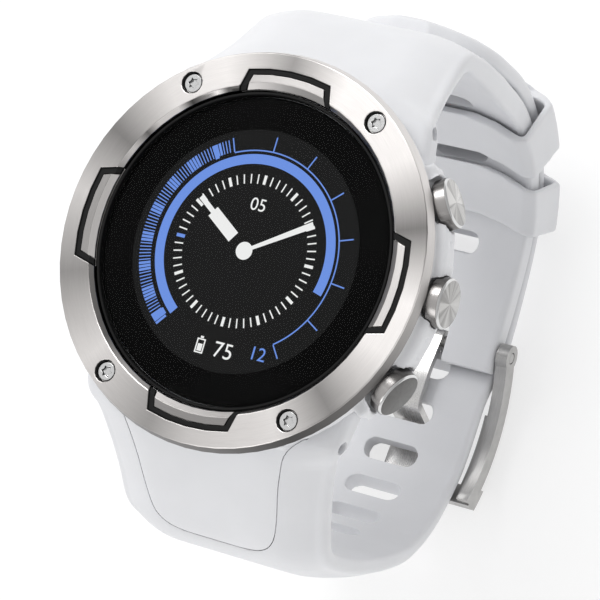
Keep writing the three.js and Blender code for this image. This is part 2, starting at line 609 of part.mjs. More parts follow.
function caseBody() {
  const flange = solid(disc(FLANGE.radius, FLANGE.bottom, FLANGE.top, 64));
  const barrel = solid(turned([[0, BARREL.bottom], [BARREL.radius - 0.8, BARREL.bottom],
    [BARREL.radius, BARREL.bottom + 1.6], [BARREL.radius, FLANGE.bottom + 0.2],
    [0, FLANGE.bottom + 0.2]], 64))
    .intersect(solid(box(-30, 30, -BARREL.flat, BARREL.flat, 0, TOP)));
  const guard = sector([[CAVITY, BARREL.bottom], [21.6, BARREL.bottom], [22.4, BARREL.bottom + 2],
    [SIDE.guard, TOP - 5.6], [SIDE.guard, FLANGE.bottom + 0.5], [FLANGE.radius, FLANGE.bottom + 1],
    [CAVITY, FLANGE.bottom + 1]], 0, SIDE.angle);
  const plainSide = sector([[CAVITY, BARREL.bottom], [21.4, BARREL.bottom], [SIDE.plain, BARREL.bottom + 2.4],
    [SIDE.plain + 0.2, FLANGE.bottom + 0.2], [CAVITY, FLANGE.bottom + 0.2]], 180, SIDE.angle);
  const lugs = [false, true].flatMap((at12) => {
    const [y0, y1] = at12 ? [BARREL.flat - 1, 22] : [-22, -BARREL.flat + 1];
    const root = solid(box(-10.6, 10.6, y0, y1, TOP - 7.6, FLANGE.bottom + 0.2))
      .intersect(solid(raised(lugPlan(at12, 0), TOP - 20, TOP)));
    const slope = solid(sideCut(mirrorY([[-14, TOP], [-14, TOP - 8.6], [-18.5, TOP - 8.6], [-24.6, TOP - 8.2],
      [-21.4, TOP - 4.2], [-19.4, TOP - 3.2], [-19.4, TOP]], at12), -LUG.half, LUG.half));
    return at12 ? [root.intersect(slope)] : [root.intersect(slope), tongue()];
  });
  const room = [
    solid(disc(CAVITY, 0, TOP, 48)),
    solid(disc(16.6, FLANGE.bottom - 0.15, TOP, 48)),
    solid(disc(GASKET.outer + FIT, GLASS.bottom - 0.25, TOP, 64)),
    solid(ring(15.9, 17.1, 0, BARREL.bottom + 0.55, 48)),
  ];
  const screwHoles = [
    ...BEZEL_SCREW_ANGLES.map((angle) => {
      const [x, y] = onCircle(BEZEL_SCREW.circle, angle);
      return solid(disc(BEZEL_SCREW.shank + FIT, FLANGE.bottom - 1, TOP, 12).translate(x, y, 0));
    }),
    ...BACK_SCREWS.map(([x, y]) => solid(disc(0.6 + FIT, 0, BARREL.bottom + 3.2, 12).translate(x, y, 0))),
  ];
  const buttonRoom = Object.values(BUTTON_ANGLES).flatMap((angle) => [
    solid(radialBar(BUTTON.radius + 0.45, angle, BUTTON.height, 22.1, 30)),
    solid(radialBar(1.6, angle, BUTTON.height, 17.5, 23, 12)),
    solid(radialBar(STEM.radius + RUNNING, angle, BUTTON.height, 14, 18, 12)),
    solid(radialBar(1.75, angle, BUTTON.height, 14, 16.5, 12)),
  ]);
  const recessFloor = SIDE.guard - 0.7;
  const recesses = [-13.5, 13.5].map((angle) => sector(
    [[recessFloor, TOP - 7.4], [30, TOP - 7.4], [30, TOP - 4.1], [recessFloor, TOP - 4.1]], angle, 3.1));
  const pinBores = [-PIN_AXIS.y, PIN_AXIS.y].map((y) => solid(
    barAlongX(PIN_AXIS.radius + RUNNING, y, PIN_AXIS.z, -20, 20)));
  return cut(join(flange, barrel, guard, plainSide, ...lugs),
    ...room, ...screwHoles, ...buttonRoom, ...recesses, ...pinBores);
}

const BACK_SCREWS = [45, 135, 225, 315].map((angle) => onCircle(18.9, angle));
const CONTACTS = [-4.5, -1.5, 1.5, 4.5].map((x) => [x, -12.2]);

function caseBack() {
  const top = BARREL.bottom - FIT;
  const body = solid(turned([[0, top], [20.3, top], [20.3, top - 0.5], [18.9, top - 1.5], [11, top - 1.6],
    [9.6, 0.5], [0, 0.5]], 40)).intersect(solid(box(-30, 30, -BARREL.flat, BARREL.flat, 0, TOP)));
  const holes = [
    solid(disc(8.4, top - 1.3, TOP, 48)),
    solid(disc(6.4 + FIT, 0, TOP, 48)),
    ...BACK_SCREWS.flatMap(([x, y]) => [
      solid(disc(0.6 + FIT, 0, TOP, 12).translate(x, y, 0)),
      solid(disc(1.2 + FIT, 0, top - 0.7, 16).translate(x, y, 0)),
    ]),
    ...CONTACTS.map(([x, y]) => solid(disc(0.7 + FIT, 0, TOP, 12).translate(x, y, 0))),
  ];
  return cut(body, ...holes);
}

// ---------------------------------------------------------------- buttons
function buttonCap(angle) {
  const profile = [[0, STEM.end], [STEM.radius, STEM.end], [STEM.radius, BUTTON.back],
    [BUTTON.radius - 0.15, BUTTON.back], [BUTTON.radius, BUTTON.back + 0.2],
    [BUTTON.radius, BUTTON.face - 0.3], [BUTTON.radius - 0.3, BUTTON.face], [0, BUTTON.face]];
  return turned(profile, 24).rotateY(Math.PI / 2).translate(0, 0, BUTTON.height)
    .rotateZ(THREE.MathUtils.degToRad(angle));
}

const buttonSeal = (angle) => new THREE.TorusGeometry(1.24, 0.28, 6, 12).rotateY(Math.PI / 2)
  .translate(19.6, 0, BUTTON.height).rotateZ(THREE.MathUtils.degToRad(angle));

function buttonClip(angle) {
  const clip = solid(ring(STEM.radius + 0.06, 1.5, 0, 0.35, 16))
    .subtract(solid(box(-0.5, 0.5, 0, 3, -1, 1)));
  return geometryOf(clip).rotateY(Math.PI / 2).translate(15.75, 0, BUTTON.height)
    .rotateZ(THREE.MathUtils.degToRad(angle));
}

function tactSwitch(angle) {
  const body = solid(box(13.4, 14.3, -1.5, 1.5, BUTTON.height - 1, BUTTON.height + 1));
  return geometryOf(body.add(solid(radialBar(0.7, 0, BUTTON.height, 14, 14.6, 12))))
    .rotateZ(THREE.MathUtils.degToRad(angle));
}

// ---------------------------------------------------------------- inside the case
const mainBoard = () => cut(
  solid(disc(14.4, TOP - 6.8, TOP - 6, 48)),
  solid(box(-16, -12.6, -3, 3, 0, TOP)),
  solid(box(-2.5, 2.5, 12.4, 16, 0, TOP)));

// ---------------------------------------------------------------- the assembly
const watch = new THREE.Group();

function add(name, geometry, material) {
  const isBuffer = geometry instanceof THREE.BufferGeometry;
  const mesh = new THREE.Mesh(isBuffer ? geometry : geometryOf(geometry), material);
  mesh.name = name;
  watch.add(mesh);
}

add('case_body', caseBody(), MATERIALS.polyamide);
add('case_back', caseBack(), MATERIALS.polyamide);
add('back_gasket', ring(16.05, 16.95, BARREL.bottom - 0.05, BARREL.bottom + 0.45, 48), MATERIALS.blackRubber);
BACK_SCREWS.forEach(([x, y], i) => add(`back_screw_${i + 1}`,
  torxScrew(1.2, 0.5, 0.6, 4.2).rotateX(Math.PI).translate(x, y, BARREL.bottom - 1.4), MATERIALS.steel));
add('sensor_window', turned([[0, 0], [4.6, 0], [6.4, 0.7], [6.4, 1.6], [0, 1.6]], 48),
  MATERIALS.blackPlastic);
add('sensor_board', disc(7.8, 2.3, 3.1, 32), MATERIALS.board);
CONTACTS.forEach(([x, y], i) => add(`charge_contact_${i + 1}`,
  disc(0.7, 1.75, 3.6, 12).translate(x, y, 0), MATERIALS.gold));

add('bezel', bezel(), MATERIALS.steel);
BEZEL_SCREW_ANGLES.forEach((angle, i) => add(`bezel_screw_${i + 1}`,
  torxScrew(BEZEL_SCREW.head, 0.55, BEZEL_SCREW.shank, 2.9)
    .translate(...onCircle(BEZEL_SCREW.circle, angle), TOP - 0.35), MATERIALS.darkSteel));
QUARTERS.forEach((quarter) => {
  const hour = quarter === 90 ? 12 : (12 + 3 - quarter / 30) % 12;
  add(`insert_plate_${hour}`, insertPlate(quarter), MATERIALS.darkSteel);
  add(`insert_seal_${hour}`, insertSeal(quarter), MATERIALS.blackRubber);
});
add('glass', turned([[0, GLASS.bottom], [GLASS.radius, GLASS.bottom], [GLASS.radius, GLASS.top - 0.25],
  [GLASS.radius - 0.25, GLASS.top], [0, GLASS.top]], 64), MATERIALS.glass);
add('glass_gasket', ring(GASKET.inner, GASKET.outer, GLASS.bottom, GLASS.top - 0.25, 64),
  MATERIALS.blackRubber);

add('display_module', disc(16.3, TOP - 3.05, TOP - 2.2, 48), MATERIALS.display);
add('main_board', mainBoard(), MATERIALS.board);
add('battery', raised(rectangle(17, 18, 2), TOP - 10.8, TOP - 7.1).translate(3, 0, 0), MATERIALS.cell);
add('vibration_motor', disc(3.7, TOP - 9.8, TOP - 7.1, 24).translate(-10.3, 0, 0), MATERIALS.steel);
add('gps_antenna', raised(rectangle(9, 5, 0.5), TOP - 5.8, TOP - 3.9).translate(0, 9.2, 0),
  MATERIALS.ceramic);

for (const [position, angle] of Object.entries(BUTTON_ANGLES)) {
  add(`button_${position}`, buttonCap(angle), MATERIALS.steel);
  add(`button_seal_${position}`, buttonSeal(angle), MATERIALS.blackRubber);
  add(`button_clip_${position}`, buttonClip(angle), MATERIALS.darkSteel);
  add(`button_switch_${position}`, tactSwitch(angle), MATERIALS.blackPlastic);
}

add('strap_long', strapLong(), MATERIALS.silicone);
add('strap_short', strapShort(), MATERIALS.silicone);
add('lug_pin_6', barAlongX(PIN_AXIS.radius, -PIN_AXIS.y, PIN_AXIS.z, -PIN_AXIS.half, PIN_AXIS.half),
  MATERIALS.steel);
add('lug_pin_12', barAlongX(PIN_AXIS.radius, PIN_AXIS.y, PIN_AXIS.z, -PIN_AXIS.half, PIN_AXIS.half),
  MATERIALS.steel);
add('keeper_free', keeper(-108, -132), MATERIALS.silicone);
add('keeper_fixed', keeper(-139, -160), MATERIALS.silicone);
add('buckle_frame', buckleFrame(), MATERIALS.darkSteel);
add('buckle_tang', buckleTang(), MATERIALS.steel);
add('buckle_pin',
  barAlongX(BUCKLE_PIN.radius, BUCKLE_PIN.y, BUCKLE_PIN.z, -BUCKLE_HALF.outer, BUCKLE_HALF.outer),
  MATERIALS.steel);

export default watch;
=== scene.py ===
"""Looks of the GPS running watch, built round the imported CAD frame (metres, +Z out of the dial)."""

import json
import math

import bmesh
import bpy
import numpy as np
from mathutils import Matrix, Vector
from mathutils.bvhtree import BVHTree


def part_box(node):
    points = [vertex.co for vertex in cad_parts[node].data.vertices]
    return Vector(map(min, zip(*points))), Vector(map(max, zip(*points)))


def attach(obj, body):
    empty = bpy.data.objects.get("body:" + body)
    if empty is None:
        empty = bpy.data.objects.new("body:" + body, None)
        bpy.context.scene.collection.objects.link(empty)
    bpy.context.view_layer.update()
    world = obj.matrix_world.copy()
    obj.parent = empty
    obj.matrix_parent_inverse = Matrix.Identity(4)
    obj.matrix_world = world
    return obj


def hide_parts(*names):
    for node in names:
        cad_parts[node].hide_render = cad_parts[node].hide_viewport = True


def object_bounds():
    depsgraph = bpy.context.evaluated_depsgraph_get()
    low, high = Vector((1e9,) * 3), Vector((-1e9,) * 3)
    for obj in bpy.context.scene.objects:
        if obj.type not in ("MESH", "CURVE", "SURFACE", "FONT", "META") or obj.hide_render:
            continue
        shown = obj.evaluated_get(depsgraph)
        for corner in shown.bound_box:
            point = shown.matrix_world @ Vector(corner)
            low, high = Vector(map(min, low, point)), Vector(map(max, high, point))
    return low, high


MM = 0.001
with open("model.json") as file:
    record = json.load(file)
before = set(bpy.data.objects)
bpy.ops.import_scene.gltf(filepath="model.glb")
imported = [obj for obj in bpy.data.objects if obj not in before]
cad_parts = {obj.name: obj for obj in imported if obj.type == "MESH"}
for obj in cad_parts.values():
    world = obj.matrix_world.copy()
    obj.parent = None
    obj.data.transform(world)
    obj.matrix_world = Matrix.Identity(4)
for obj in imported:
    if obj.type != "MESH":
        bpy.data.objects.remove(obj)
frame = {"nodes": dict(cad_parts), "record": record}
cad_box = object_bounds()
NODES = frame["nodes"]
BODY_OF = {n: body for body, names in frame["record"]["behaviour"]["bodies"].items() for n in names}

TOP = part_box("bezel")[1].z

bpy.context.scene.view_settings.view_transform = "Standard"


# ------------------------------------------------------------------ node graphs
class Graph:
    """A material under construction: add() makes a node and wires or sets its inputs."""

    def __init__(self, name):
        self.material = bpy.data.materials.new(name)
        self.material.use_nodes = True
        self.tree = self.material.node_tree
        self.tree.nodes.clear()

    def add(self, kind, inputs=None, out=0, **settings):
        node = self.tree.nodes.new("ShaderNode" + kind)
        for key, value in settings.items():
            setattr(node, key, value)
        for key, value in (inputs or {}).items():
            socket = node.inputs[key]
            if isinstance(value, bpy.types.NodeSocket):
                self.tree.links.new(value, socket)
            else:
                socket.default_value = value
        return node.outputs[out]

    def math(self, operation, a, b=0.0, c=0.0):
        return self.add("Math", {0: a, 1: b, 2: c}, operation=operation)

    def mix(self, factor, a, b):
        return self.add("Mix", {0: factor, 6: a, 7: b}, out=2, data_type="RGBA")

    def tinted(self, level, tint=(1, 1, 1)):
        """A colour that is a lightness times a tint."""
        parts = {i: self.math("MULTIPLY", level, part) for i, part in enumerate(tint)}
        return self.add("CombineColor", parts)

    def ramp(self, value, stops):
        """A grey ramp through (position, lightness) stops."""
        node = self.tree.nodes.new("ShaderNodeValToRGB")
        self.tree.links.new(value, node.inputs[0])
        elements = node.color_ramp.elements
        while len(elements) < len(stops):
            elements.new(0.5)
        for element, (position, level) in zip(elements, stops):
            element.position = position
            element.color = (level, level, level, 1)
        return node.outputs[0]

    def noise(self, vector, scale, detail=3.0, roughness=0.5):
        inputs = {"Vector": vector, "Scale": scale, "Detail": detail, "Roughness": roughness}
        return self.add("TexNoise", inputs)

    def place(self):
        """The piece's own coordinates, in millimetres."""
        raw = self.add("TexCoord", out=3)
        return self.add("VectorMath", {0: raw, 3: 1 / MM}, operation="SCALE")

    def bump(self, height, distance_mm, strength):
        return self.add("Bump", {"Height": height, "Distance": distance_mm * MM, "Strength": strength})

    def surface(self, inputs):
        return self.finish(self.add("BsdfPrincipled", inputs))

    def finish(self, shader):
        output = self.tree.nodes.new("ShaderNodeOutputMaterial")
        self.tree.links.new(shader, output.inputs[0])
        return self.material


def moulded(name, colour, roughness, grain=0.006, subsurface=0.0):
    """Moulded rubber or plastic: faint mottling and a fine moulded grain."""
    g = Graph(name)
    p = g.place()
    cloud = g.noise(p, 0.12, 4.0)
    fine = g.noise(p, 9.0, 2.0)
    dark = tuple(c * 0.955 for c in colour)
    base = g.mix(g.ramp(cloud, [(0.3, 0.0), (0.7, 1.0)]), (*dark, 1), (*colour, 1))
    return g.surface({
        "Base Color": base, "Roughness": g.math("MULTIPLY_ADD", fine, 0.14, roughness - 0.07),
        "Normal": g.bump(fine, grain, 0.6), "Subsurface Weight": subsurface,
        "Subsurface Radius": (1.2, 1.1, 1.0), "Subsurface Scale": 0.0006, "Specular IOR Level": 0.45,
    })


def polar(g):
    """Radius in millimetres, and the cosine and sine of the angle about Z."""
    p = g.place()
    x, y, _ = split(g, p)
    radius = g.math("SQRT", g.math("ADD", g.math("MULTIPLY", x, x), g.math("MULTIPLY", y, y)))
    safe = g.math("MAXIMUM", radius, 0.001)
    return radius, g.math("DIVIDE", x, safe), g.math("DIVIDE", y, safe)


def split(g, vector):
    """The X, Y and Z of a vector."""
    node = g.tree.nodes.new("ShaderNodeSeparateXYZ")
    g.tree.links.new(vector, node.inputs[0])
    return node.outputs


def combine(g, x, y, z):
    """A vector from its X, Y and Z."""
    return g.add("CombineXYZ", {0: x, 1: y, 2: z})


def conic(g, cosine, sine, stops):
    """A grey that changes with the clock angle: stops is a list of (clock angle in degrees, lightness)."""
    turn = g.math("MULTIPLY_ADD", g.math("ARCTAN2", cosine, sine), 1 / (2 * math.pi), 0.5)
    placed = sorted((((clock + 180) % 360) / 360, level) for clock, level in stops)
    (first, low), (last, high) = placed[0], placed[-1]
    seam = low + (high - low) * first / (first + 1 - last)
    return g.ramp(turn, [(0.0, seam), *placed, (1.0, seam)])


def turned_steel(name, reflection_fans, roughness=0.34, streak=0.16, lines=26.0, inner_reflection_fans=None):
    """Metal brushed in circles about the piece's Z, with light and dark fans painted into its colour by clock
    angle: painted reflections standing in for the sweeps such brushing reflects.
    """
    g = Graph(name)
    radius, cosine, sine = polar(g)
    circles = combine(g, g.math("MULTIPLY", radius, lines), g.math("MULTIPLY", cosine, 7.0),
                      g.math("MULTIPLY", sine, 7.0))
    scratches = g.noise(circles, 1.0, 4.0, 0.65)
    # Painted reflections: light and dark fans put into the colour by clock angle.
    reflection_fan = conic(g, cosine, sine, reflection_fans)
    if inner_reflection_fans:
        inner = g.math("LESS_THAN", radius, PLATE_STEP)
        reflection_fan = g.mix(inner, reflection_fan, conic(g, cosine, sine, inner_reflection_fans))
    grey = g.math("MULTIPLY", reflection_fan, g.math("MULTIPLY_ADD", scratches, streak * 2, 1 - streak))
    return g.surface({
        "Base Color": g.tinted(grey, (1, 0.965, 0.945)), "Metallic": 1.0,
        "Roughness": g.math("MULTIPLY_ADD", scratches, 0.16, roughness - 0.08),
        "Normal": g.bump(scratches, 0.004, 0.5),
    })


def brushed_steel(name, grey, roughness, direction):
    """Metal brushed in straight lines; direction holds the noise scale along each axis."""
    g = Graph(name)
    p = g.place()
    lines = g.noise(g.add("VectorMath", {0: p, 1: direction}, operation="MULTIPLY"), 1.0, 4.0, 0.6)
    cloud = g.noise(p, 0.35, 2.0)
    streaks = g.math("MULTIPLY_ADD", lines, 0.22, grey - 0.11)
    level = g.math("ADD", streaks, g.math("MULTIPLY_ADD", cloud, 0.1, -0.05))
    return g.surface({
        "Base Color": g.tinted(level, (1, 0.985, 0.965)), "Metallic": 1.0,
        "Roughness": g.math("MULTIPLY_ADD", lines, 0.2, roughness - 0.1),
        "Normal": g.bump(lines, 0.004, 0.5),
    })


def polished(name, grey, roughness):
    """Metal with a mirror finish, a little hazy in places."""
    g = Graph(name)
    haze = g.noise(g.place(), 1.6, 3.0)
    level = g.math("MULTIPLY_ADD", haze, 0.08, grey - 0.04)
    return g.surface({
        "Base Color": g.tinted(level), "Metallic": 1.0,
        "Roughness": g.math("MULTIPLY_ADD", haze, 0.06, roughness),
    })


def black_rubber_and_painted_shade(name, grey=0.012, roughness=0.5):
    """A near-black rubber or plastic, with a fine grain; also used as painted shade in the screws' sockets
    and recesses.
    """
    g = Graph(name)
    fine = g.noise(g.place(), 11.0, 3.0)
    level = g.math("MULTIPLY_ADD", fine, grey, grey * 0.5)
    return g.surface({
        "Base Color": g.tinted(level), "Roughness": g.math("MULTIPLY_ADD", fine, 0.2, roughness - 0.1),
        "Normal": g.bump(fine, 0.006, 0.5), "Specular IOR Level": 0.12,
    })


def sunburst(name, spokes, grey, roughness=0.2, lift=0.42):
    """A button face: light and dark fans that meet in the middle, painted reflections in its colour, over
    fine circular turning.
    """
    g = Graph(name)
    radius, cosine, sine = polar(g)
    # Painted reflections: light and dark fans by clock angle.
    reflection_fans = g.noise(combine(g, cosine, sine, spokes), 1.3, 1.0)
    steep = g.ramp(reflection_fans, [(0.36, 0.0), (0.47, 0.75), (0.53, 0.25), (0.64, 1.0)])
    rings = g.noise(combine(g, g.math("MULTIPLY", radius, 18.0), cosine, sine), 1.0, 2.0)
    reflection_fan_level = g.math("MULTIPLY_ADD", steep, lift, grey - lift / 2)
    level = g.math("ADD", reflection_fan_level, g.math("MULTIPLY_ADD", rings, 0.12, -0.06))
    return g.surface({
        "Base Color": g.tinted(level, (1, 0.985, 0.965)), "Metallic": 1.0,
        "Roughness": g.math("MULTIPLY_ADD", rings, 0.12, roughness - 0.04),
        "Normal": g.bump(rings, 0.003, 0.5),
    })


def pixels(g):
    """A wave over the display that falls to nothing on the lines between its pixels."""
    x, y, _ = split(g, g.place())
    waves = [g.math("SINE", g.math("MULTIPLY", axis, math.pi / PIXEL)) for axis in (x, y)]
    return g.math("MINIMUM", *(g.math("ABSOLUTE", wave) for wave in waves))


def panel_black(name, grey, roughness):
    """The display behind the glass, with its faint grid of pixels."""
    g = Graph(name)
    level = g.math("MULTIPLY_ADD", pixels(g), grey * 0.4, grey * 0.8)
    return g.surface({"Base Color": g.tinted(level), "Roughness": roughness, "Specular IOR Level": 0.03})


def ink_painted_glow(name, colour, strength):
    """A mark on the display in its own colour, broken up by the pixel grid; its glow is painted light,
    standing in for the light the display's marks reflect.
    """
    g = Graph(name)
    lit = g.tinted(g.math("MULTIPLY_ADD", pixels(g), 0.16, 0.88), colour)
    return g.surface({
        "Base Color": (0.01, 0.01, 0.01, 1), "Emission Color": lit, "Emission Strength": strength,
        "Roughness": 0.6, "Specular IOR Level": 0.0,
    })


def clear_glass(name):
    """Hardened glass with faint smears in its gloss: seen through, with a sharp reflection on top."""
    g = Graph(name)
    smear = g.noise(g.place(), 0.25, 4.0)
    roughness = g.math("MULTIPLY_ADD", smear, 0.05, 0.01)
    gloss = g.add("BsdfGlossy", {"Color": (1, 1, 1, 1), "Roughness": roughness})
    through = g.add("BsdfTransparent", {"Color": (0.97, 0.98, 0.98, 1)})
    fresnel = g.add("Fresnel", {"IOR": GLASS_IOR})
    return g.finish(g.add("MixShader", {0: fresnel, 1: through, 2: gloss}))


PIXEL = 0.12  # millimetres across a pixel of the display
GLASS_IOR = 1.11  # with its anti-glare coat
PLATE_STEP = 19.45  # radius in millimetres where a plate steps down, and takes its inner painted reflections
WHITE = (0.805, 0.81, 0.832)

# Painted reflections: lightness of the turned metal at clock angles in degrees, light and dark sweeps put
# into its colour in place of those its brushing reflects.
BEZEL_REFLECTION_FANS = [
    (0, 0.3), (20, 0.82), (50, 0.8), (72, 0.2), (94, 0.95), (110, 0.92), (132, 0.28), (150, 0.8), (178, 0.64),
    (192, 0.36), (222, 0.78), (250, 0.32), (276, 0.66), (297, 0.22), (318, 0.72), (338, 0.78),
]
WALL_REFLECTION_FANS = [
    (0, 0.7), (60, 0.72), (84, 0.55), (100, 0.36), (120, 0.17), (146, 0.06), (170, 0.14), (195, 0.16),
    (230, 0.5), (300, 0.6),
]
CHAMFER_REFLECTION_FANS = [
    (0, 0.75), (14, 0.25), (40, 0.12), (60, 0.6), (90, 0.8), (120, 0.7), (150, 0.3), (180, 0.25), (210, 0.6),
    (225, 0.2), (262, 0.3), (285, 0.35), (296, 0.9), (304, 0.2), (309, 0.9), (318, 0.95), (323, 0.06),
    (333, 0.5), (337, 0.06), (352, 0.1),
]
BUTTON_REFLECTION_FANS = [(0, 0.5), (30, 0.2), (75, 0.1), (120, 0.3), (180, 0.5), (215, 0.4), (265, 0.12), (320, 0.35)]
PLATE_REFLECTION_FANS = [(0, 0.62), (45, 0.62), (46, 0.7), (135, 0.7), (136, 0.3), (225, 0.3), (226, 0.36), (315, 0.36)]
PLATE_INNER_REFLECTION_FANS = [
    (0, 0.3), (45, 0.3), (46, 0.26), (135, 0.26), (136, 0.55), (225, 0.55), (226, 0.7), (315, 0.7),
]

M = {
    "silicone": moulded("silicone", WHITE, 0.46, subsurface=0.06),
    "polyamide": moulded("polyamide", (0.825, 0.83, 0.852), 0.36, grain=0.004, subsurface=0.04),
    "bezel": turned_steel("bezel_steel", BEZEL_REFLECTION_FANS),
    "wall": turned_steel("bezel_wall", WALL_REFLECTION_FANS, 0.38, lines=18.0),
    "chamfer": turned_steel("polished_chamfer", CHAMFER_REFLECTION_FANS, 0.14, 0.06),
    "screw": polished("screw_head", 0.72, 0.16),
    "rim": polished("button_rim", 0.7, 0.14),
    # Painted shade: near-black for the walls of the bezel's screw recesses.
    "recess": black_rubber_and_painted_shade("screw_recess_shade", 0.03, 0.4),
    "plate": turned_steel("insert_plate", PLATE_REFLECTION_FANS, 0.36, 0.08, 9.0, PLATE_INNER_REFLECTION_FANS),
    "socket": black_rubber_and_painted_shade("socket_shade", 0.012, 0.3),
    "seal": black_rubber_and_painted_shade("black_seal"),
    "panel": panel_black("display_border", 0.0015, 0.35),
    "active": panel_black("display_active", 0.013, 0.4),
    "glass": clear_glass("front_glass"),
    "ink_white": ink_painted_glow("ink_white", (0.9, 0.9, 0.89), 1.0),
    "ink_blue": ink_painted_glow("ink_blue", (0.16, 0.3, 0.8), 1.0),
    "button_side": turned_steel("button_side", BUTTON_REFLECTION_FANS, 0.25, lines=3.0),
    # The three button faces are one steel painted at different lightness, lit and shaded copies; the lower
    # face is painted darkest, as painted shade.
    "burst_a": sunburst("button_face_a", 0.4, 0.42),
    "burst_b": sunburst("button_face_b", 2.7, 0.36, lift=0.3),
    "burst_c": sunburst("button_face_c", 5.1, 0.13, 0.34, 0.03),
    "buckle": brushed_steel("buckle_steel", 0.46, 0.34, (9.0, 0.7, 0.7)),
    # The tang is the buckle's brushed steel painted lighter: a painted highlight.
    "tang": brushed_steel("tang_steel", 0.66, 0.26, (9.0, 0.8, 0.8)),
    "pin": polished("pin_steel", 0.7, 0.2),
    "gloss_black": black_rubber_and_painted_shade("gloss_black", 0.01, 0.16),
    "board": moulded("circuit_board", (0.03, 0.13, 0.06), 0.4),
    "cell": brushed_steel("cell_foil", 0.55, 0.4, (4.0, 4.0, 4.0)),
    "ceramic": moulded("ceramic", (0.6, 0.52, 0.36), 0.6),
    "gold": polished("gold_contact", 0.75, 0.2),
}


# ------------------------------------------------------------------ mesh helpers
# Angles in degrees above which an edge stays hard, by how the mesh was made.
HARD_EDGE = 28
LATHE_EDGE = 32
REMESHED_EDGE = 48
CAD_EDGE = 30

FLAT_ANGLE = 0.6  # degrees between faces that count as one flat face
CAD_WELD = 0.002  # millimetres within which the corners of CAD faces become one
LATHE_WELD = 0.001  # and those of a turned piece, on its axis
EASE = 0.5  # how far a vertex goes towards its neighbours' mean in a round of smoothing
SEAM_EASE = 0.06  # the same along a seam, which stays sharp
SEAM_REACH = 0.2  # millimetres within which points are drawn back onto a smooth surface at a seam


def new_object(name, vertices, faces, material, smooth=True):
    """A mesh object in the scene, with one material."""
    mesh = bpy.data.meshes.new(name)
    mesh.from_pydata([tuple(v) for v in vertices], [], [tuple(f) for f in faces])
    mesh.update()
    for polygon in mesh.polygons:
        polygon.use_smooth = smooth
    piece = bpy.data.objects.new(name, mesh)
    bpy.context.scene.collection.objects.link(piece)
    mesh.materials.append(material)
    return piece


def copy_of(node, material):
    """A free copy of a CAD node's mesh, welded along the edges of its faces."""
    name = "look_" + node
    mesh = NODES[node].data.copy()
    mesh.name = name
    mesh.materials.clear()
    mesh.materials.append(material)
    work = bmesh.new()
    work.from_mesh(mesh)
    bmesh.ops.remove_doubles(work, verts=work.verts, dist=CAD_WELD * MM)
    work.to_mesh(mesh)
    work.free()
    piece = bpy.data.objects.new(name, mesh)
    bpy.context.scene.collection.objects.link(piece)
    return piece


def apply_modifiers(piece):
    """Replaces the piece's mesh by what its modifiers make of it."""
    evaluated = piece.evaluated_get(bpy.context.evaluated_depsgraph_get())
    mesh = bpy.data.meshes.new_from_object(evaluated)
    piece.modifiers.clear()
    piece.data = mesh


def stand_for(piece, node):
    """The piece is shown in place of this CAD node and moves with its body."""
    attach(piece, BODY_OF[node])
    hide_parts(node)
    return piece


def bevelled(node, material, width_mm):
    """A CAD node with its edges broken, for hard metal and plastic."""
    piece = copy_of(node, material)
    work = bmesh.new()
    work.from_mesh(piece.data)
    bmesh.ops.dissolve_limit(work, angle_limit=math.radians(FLAT_ANGLE), verts=work.verts, edges=work.edges)
    work.to_mesh(piece.data)
    work.free()
    smooth_by_angle(piece, HARD_EDGE)
    bevel = piece.modifiers.new("bevel", "BEVEL")
    bevel.width = width_mm * MM
    bevel.segments = 2
    bevel.limit_method = "ANGLE"
    bevel.angle_limit = math.radians(HARD_EDGE)
    bevel.use_clamp_overlap = True
    bevel.harden_normals = True
    apply_modifiers(piece)
    return stand_for(piece, node)


def smooth_by_angle(piece, degrees):
    """Smooth shading, with edges sharper than the angle kept hard."""
    mesh = piece.data
    mesh.polygons.foreach_set("use_smooth", [True] * len(mesh.polygons))
    mesh.set_sharp_from_angle(angle=math.radians(degrees))


def positions(mesh):
    """A mesh's vertices as a table of x, y, z in metres."""
    flat = np.empty(len(mesh.vertices) * 3)
    mesh.vertices.foreach_get("co", flat)
    return flat.reshape(-1, 3)


def set_positions(mesh, points):
    mesh.vertices.foreach_set("co", points.ravel())
    mesh.update()


def relaxed(points, edges, rounds, factor):
    """Moves each vertex towards the mean of its neighbours, a few times over; factor is one per vertex."""
    count = np.bincount(edges.ravel(), minlength=len(points))[:, None]
    for _ in range(rounds):
        total = np.zeros_like(points)
        for axis in range(3):
            ends = points[:, axis][edges[:, ::-1]]
            total[:, axis] = np.bincount(edges.ravel(), ends.ravel(), len(points))
        points = points + factor[:, None] * (total / np.maximum(count, 1) - points)
    return points


def drawn_onto(points, guides, reach_mm):
    """Points moved onto the nearest guide surface, where one is within reach."""
    for guide in guides:
        for i, point in enumerate(points):
            hit = guide.find_nearest(Vector(point), reach_mm * MM)[0]
            if hit is not None:
                points[i] = hit
    return points


def soft(node, material, voxel_mm, rounds, guides=(), reach_mm=0.45, seam=None):
    """A CAD node remeshed finely, drawn onto smooth guide surfaces and rounded along its edges.

    seam is a function that closes up a seam in the points and says which of them to keep sharp.
    """
    piece = copy_of(node, material)
    remesh = piece.modifiers.new("remesh", "REMESH")
    remesh.mode = "VOXEL"
    remesh.voxel_size = voxel_mm * MM
    apply_modifiers(piece)
    mesh = piece.data
    points = drawn_onto(positions(mesh), guides, reach_mm)
    factor = np.full(len(points), EASE)
    if seam:
        factor[seam(points)] = SEAM_EASE
        points = drawn_onto(points, guides, SEAM_REACH)
    edges = np.empty(len(mesh.edges) * 2, int)
    mesh.edges.foreach_get("vertices", edges)
    set_positions(mesh, relaxed(points, edges.reshape(-1, 2), rounds, factor))
    smooth_by_angle(piece, REMESHED_EDGE)
    mesh.materials.clear()
    mesh.materials.append(material)
    return stand_for(piece, node)


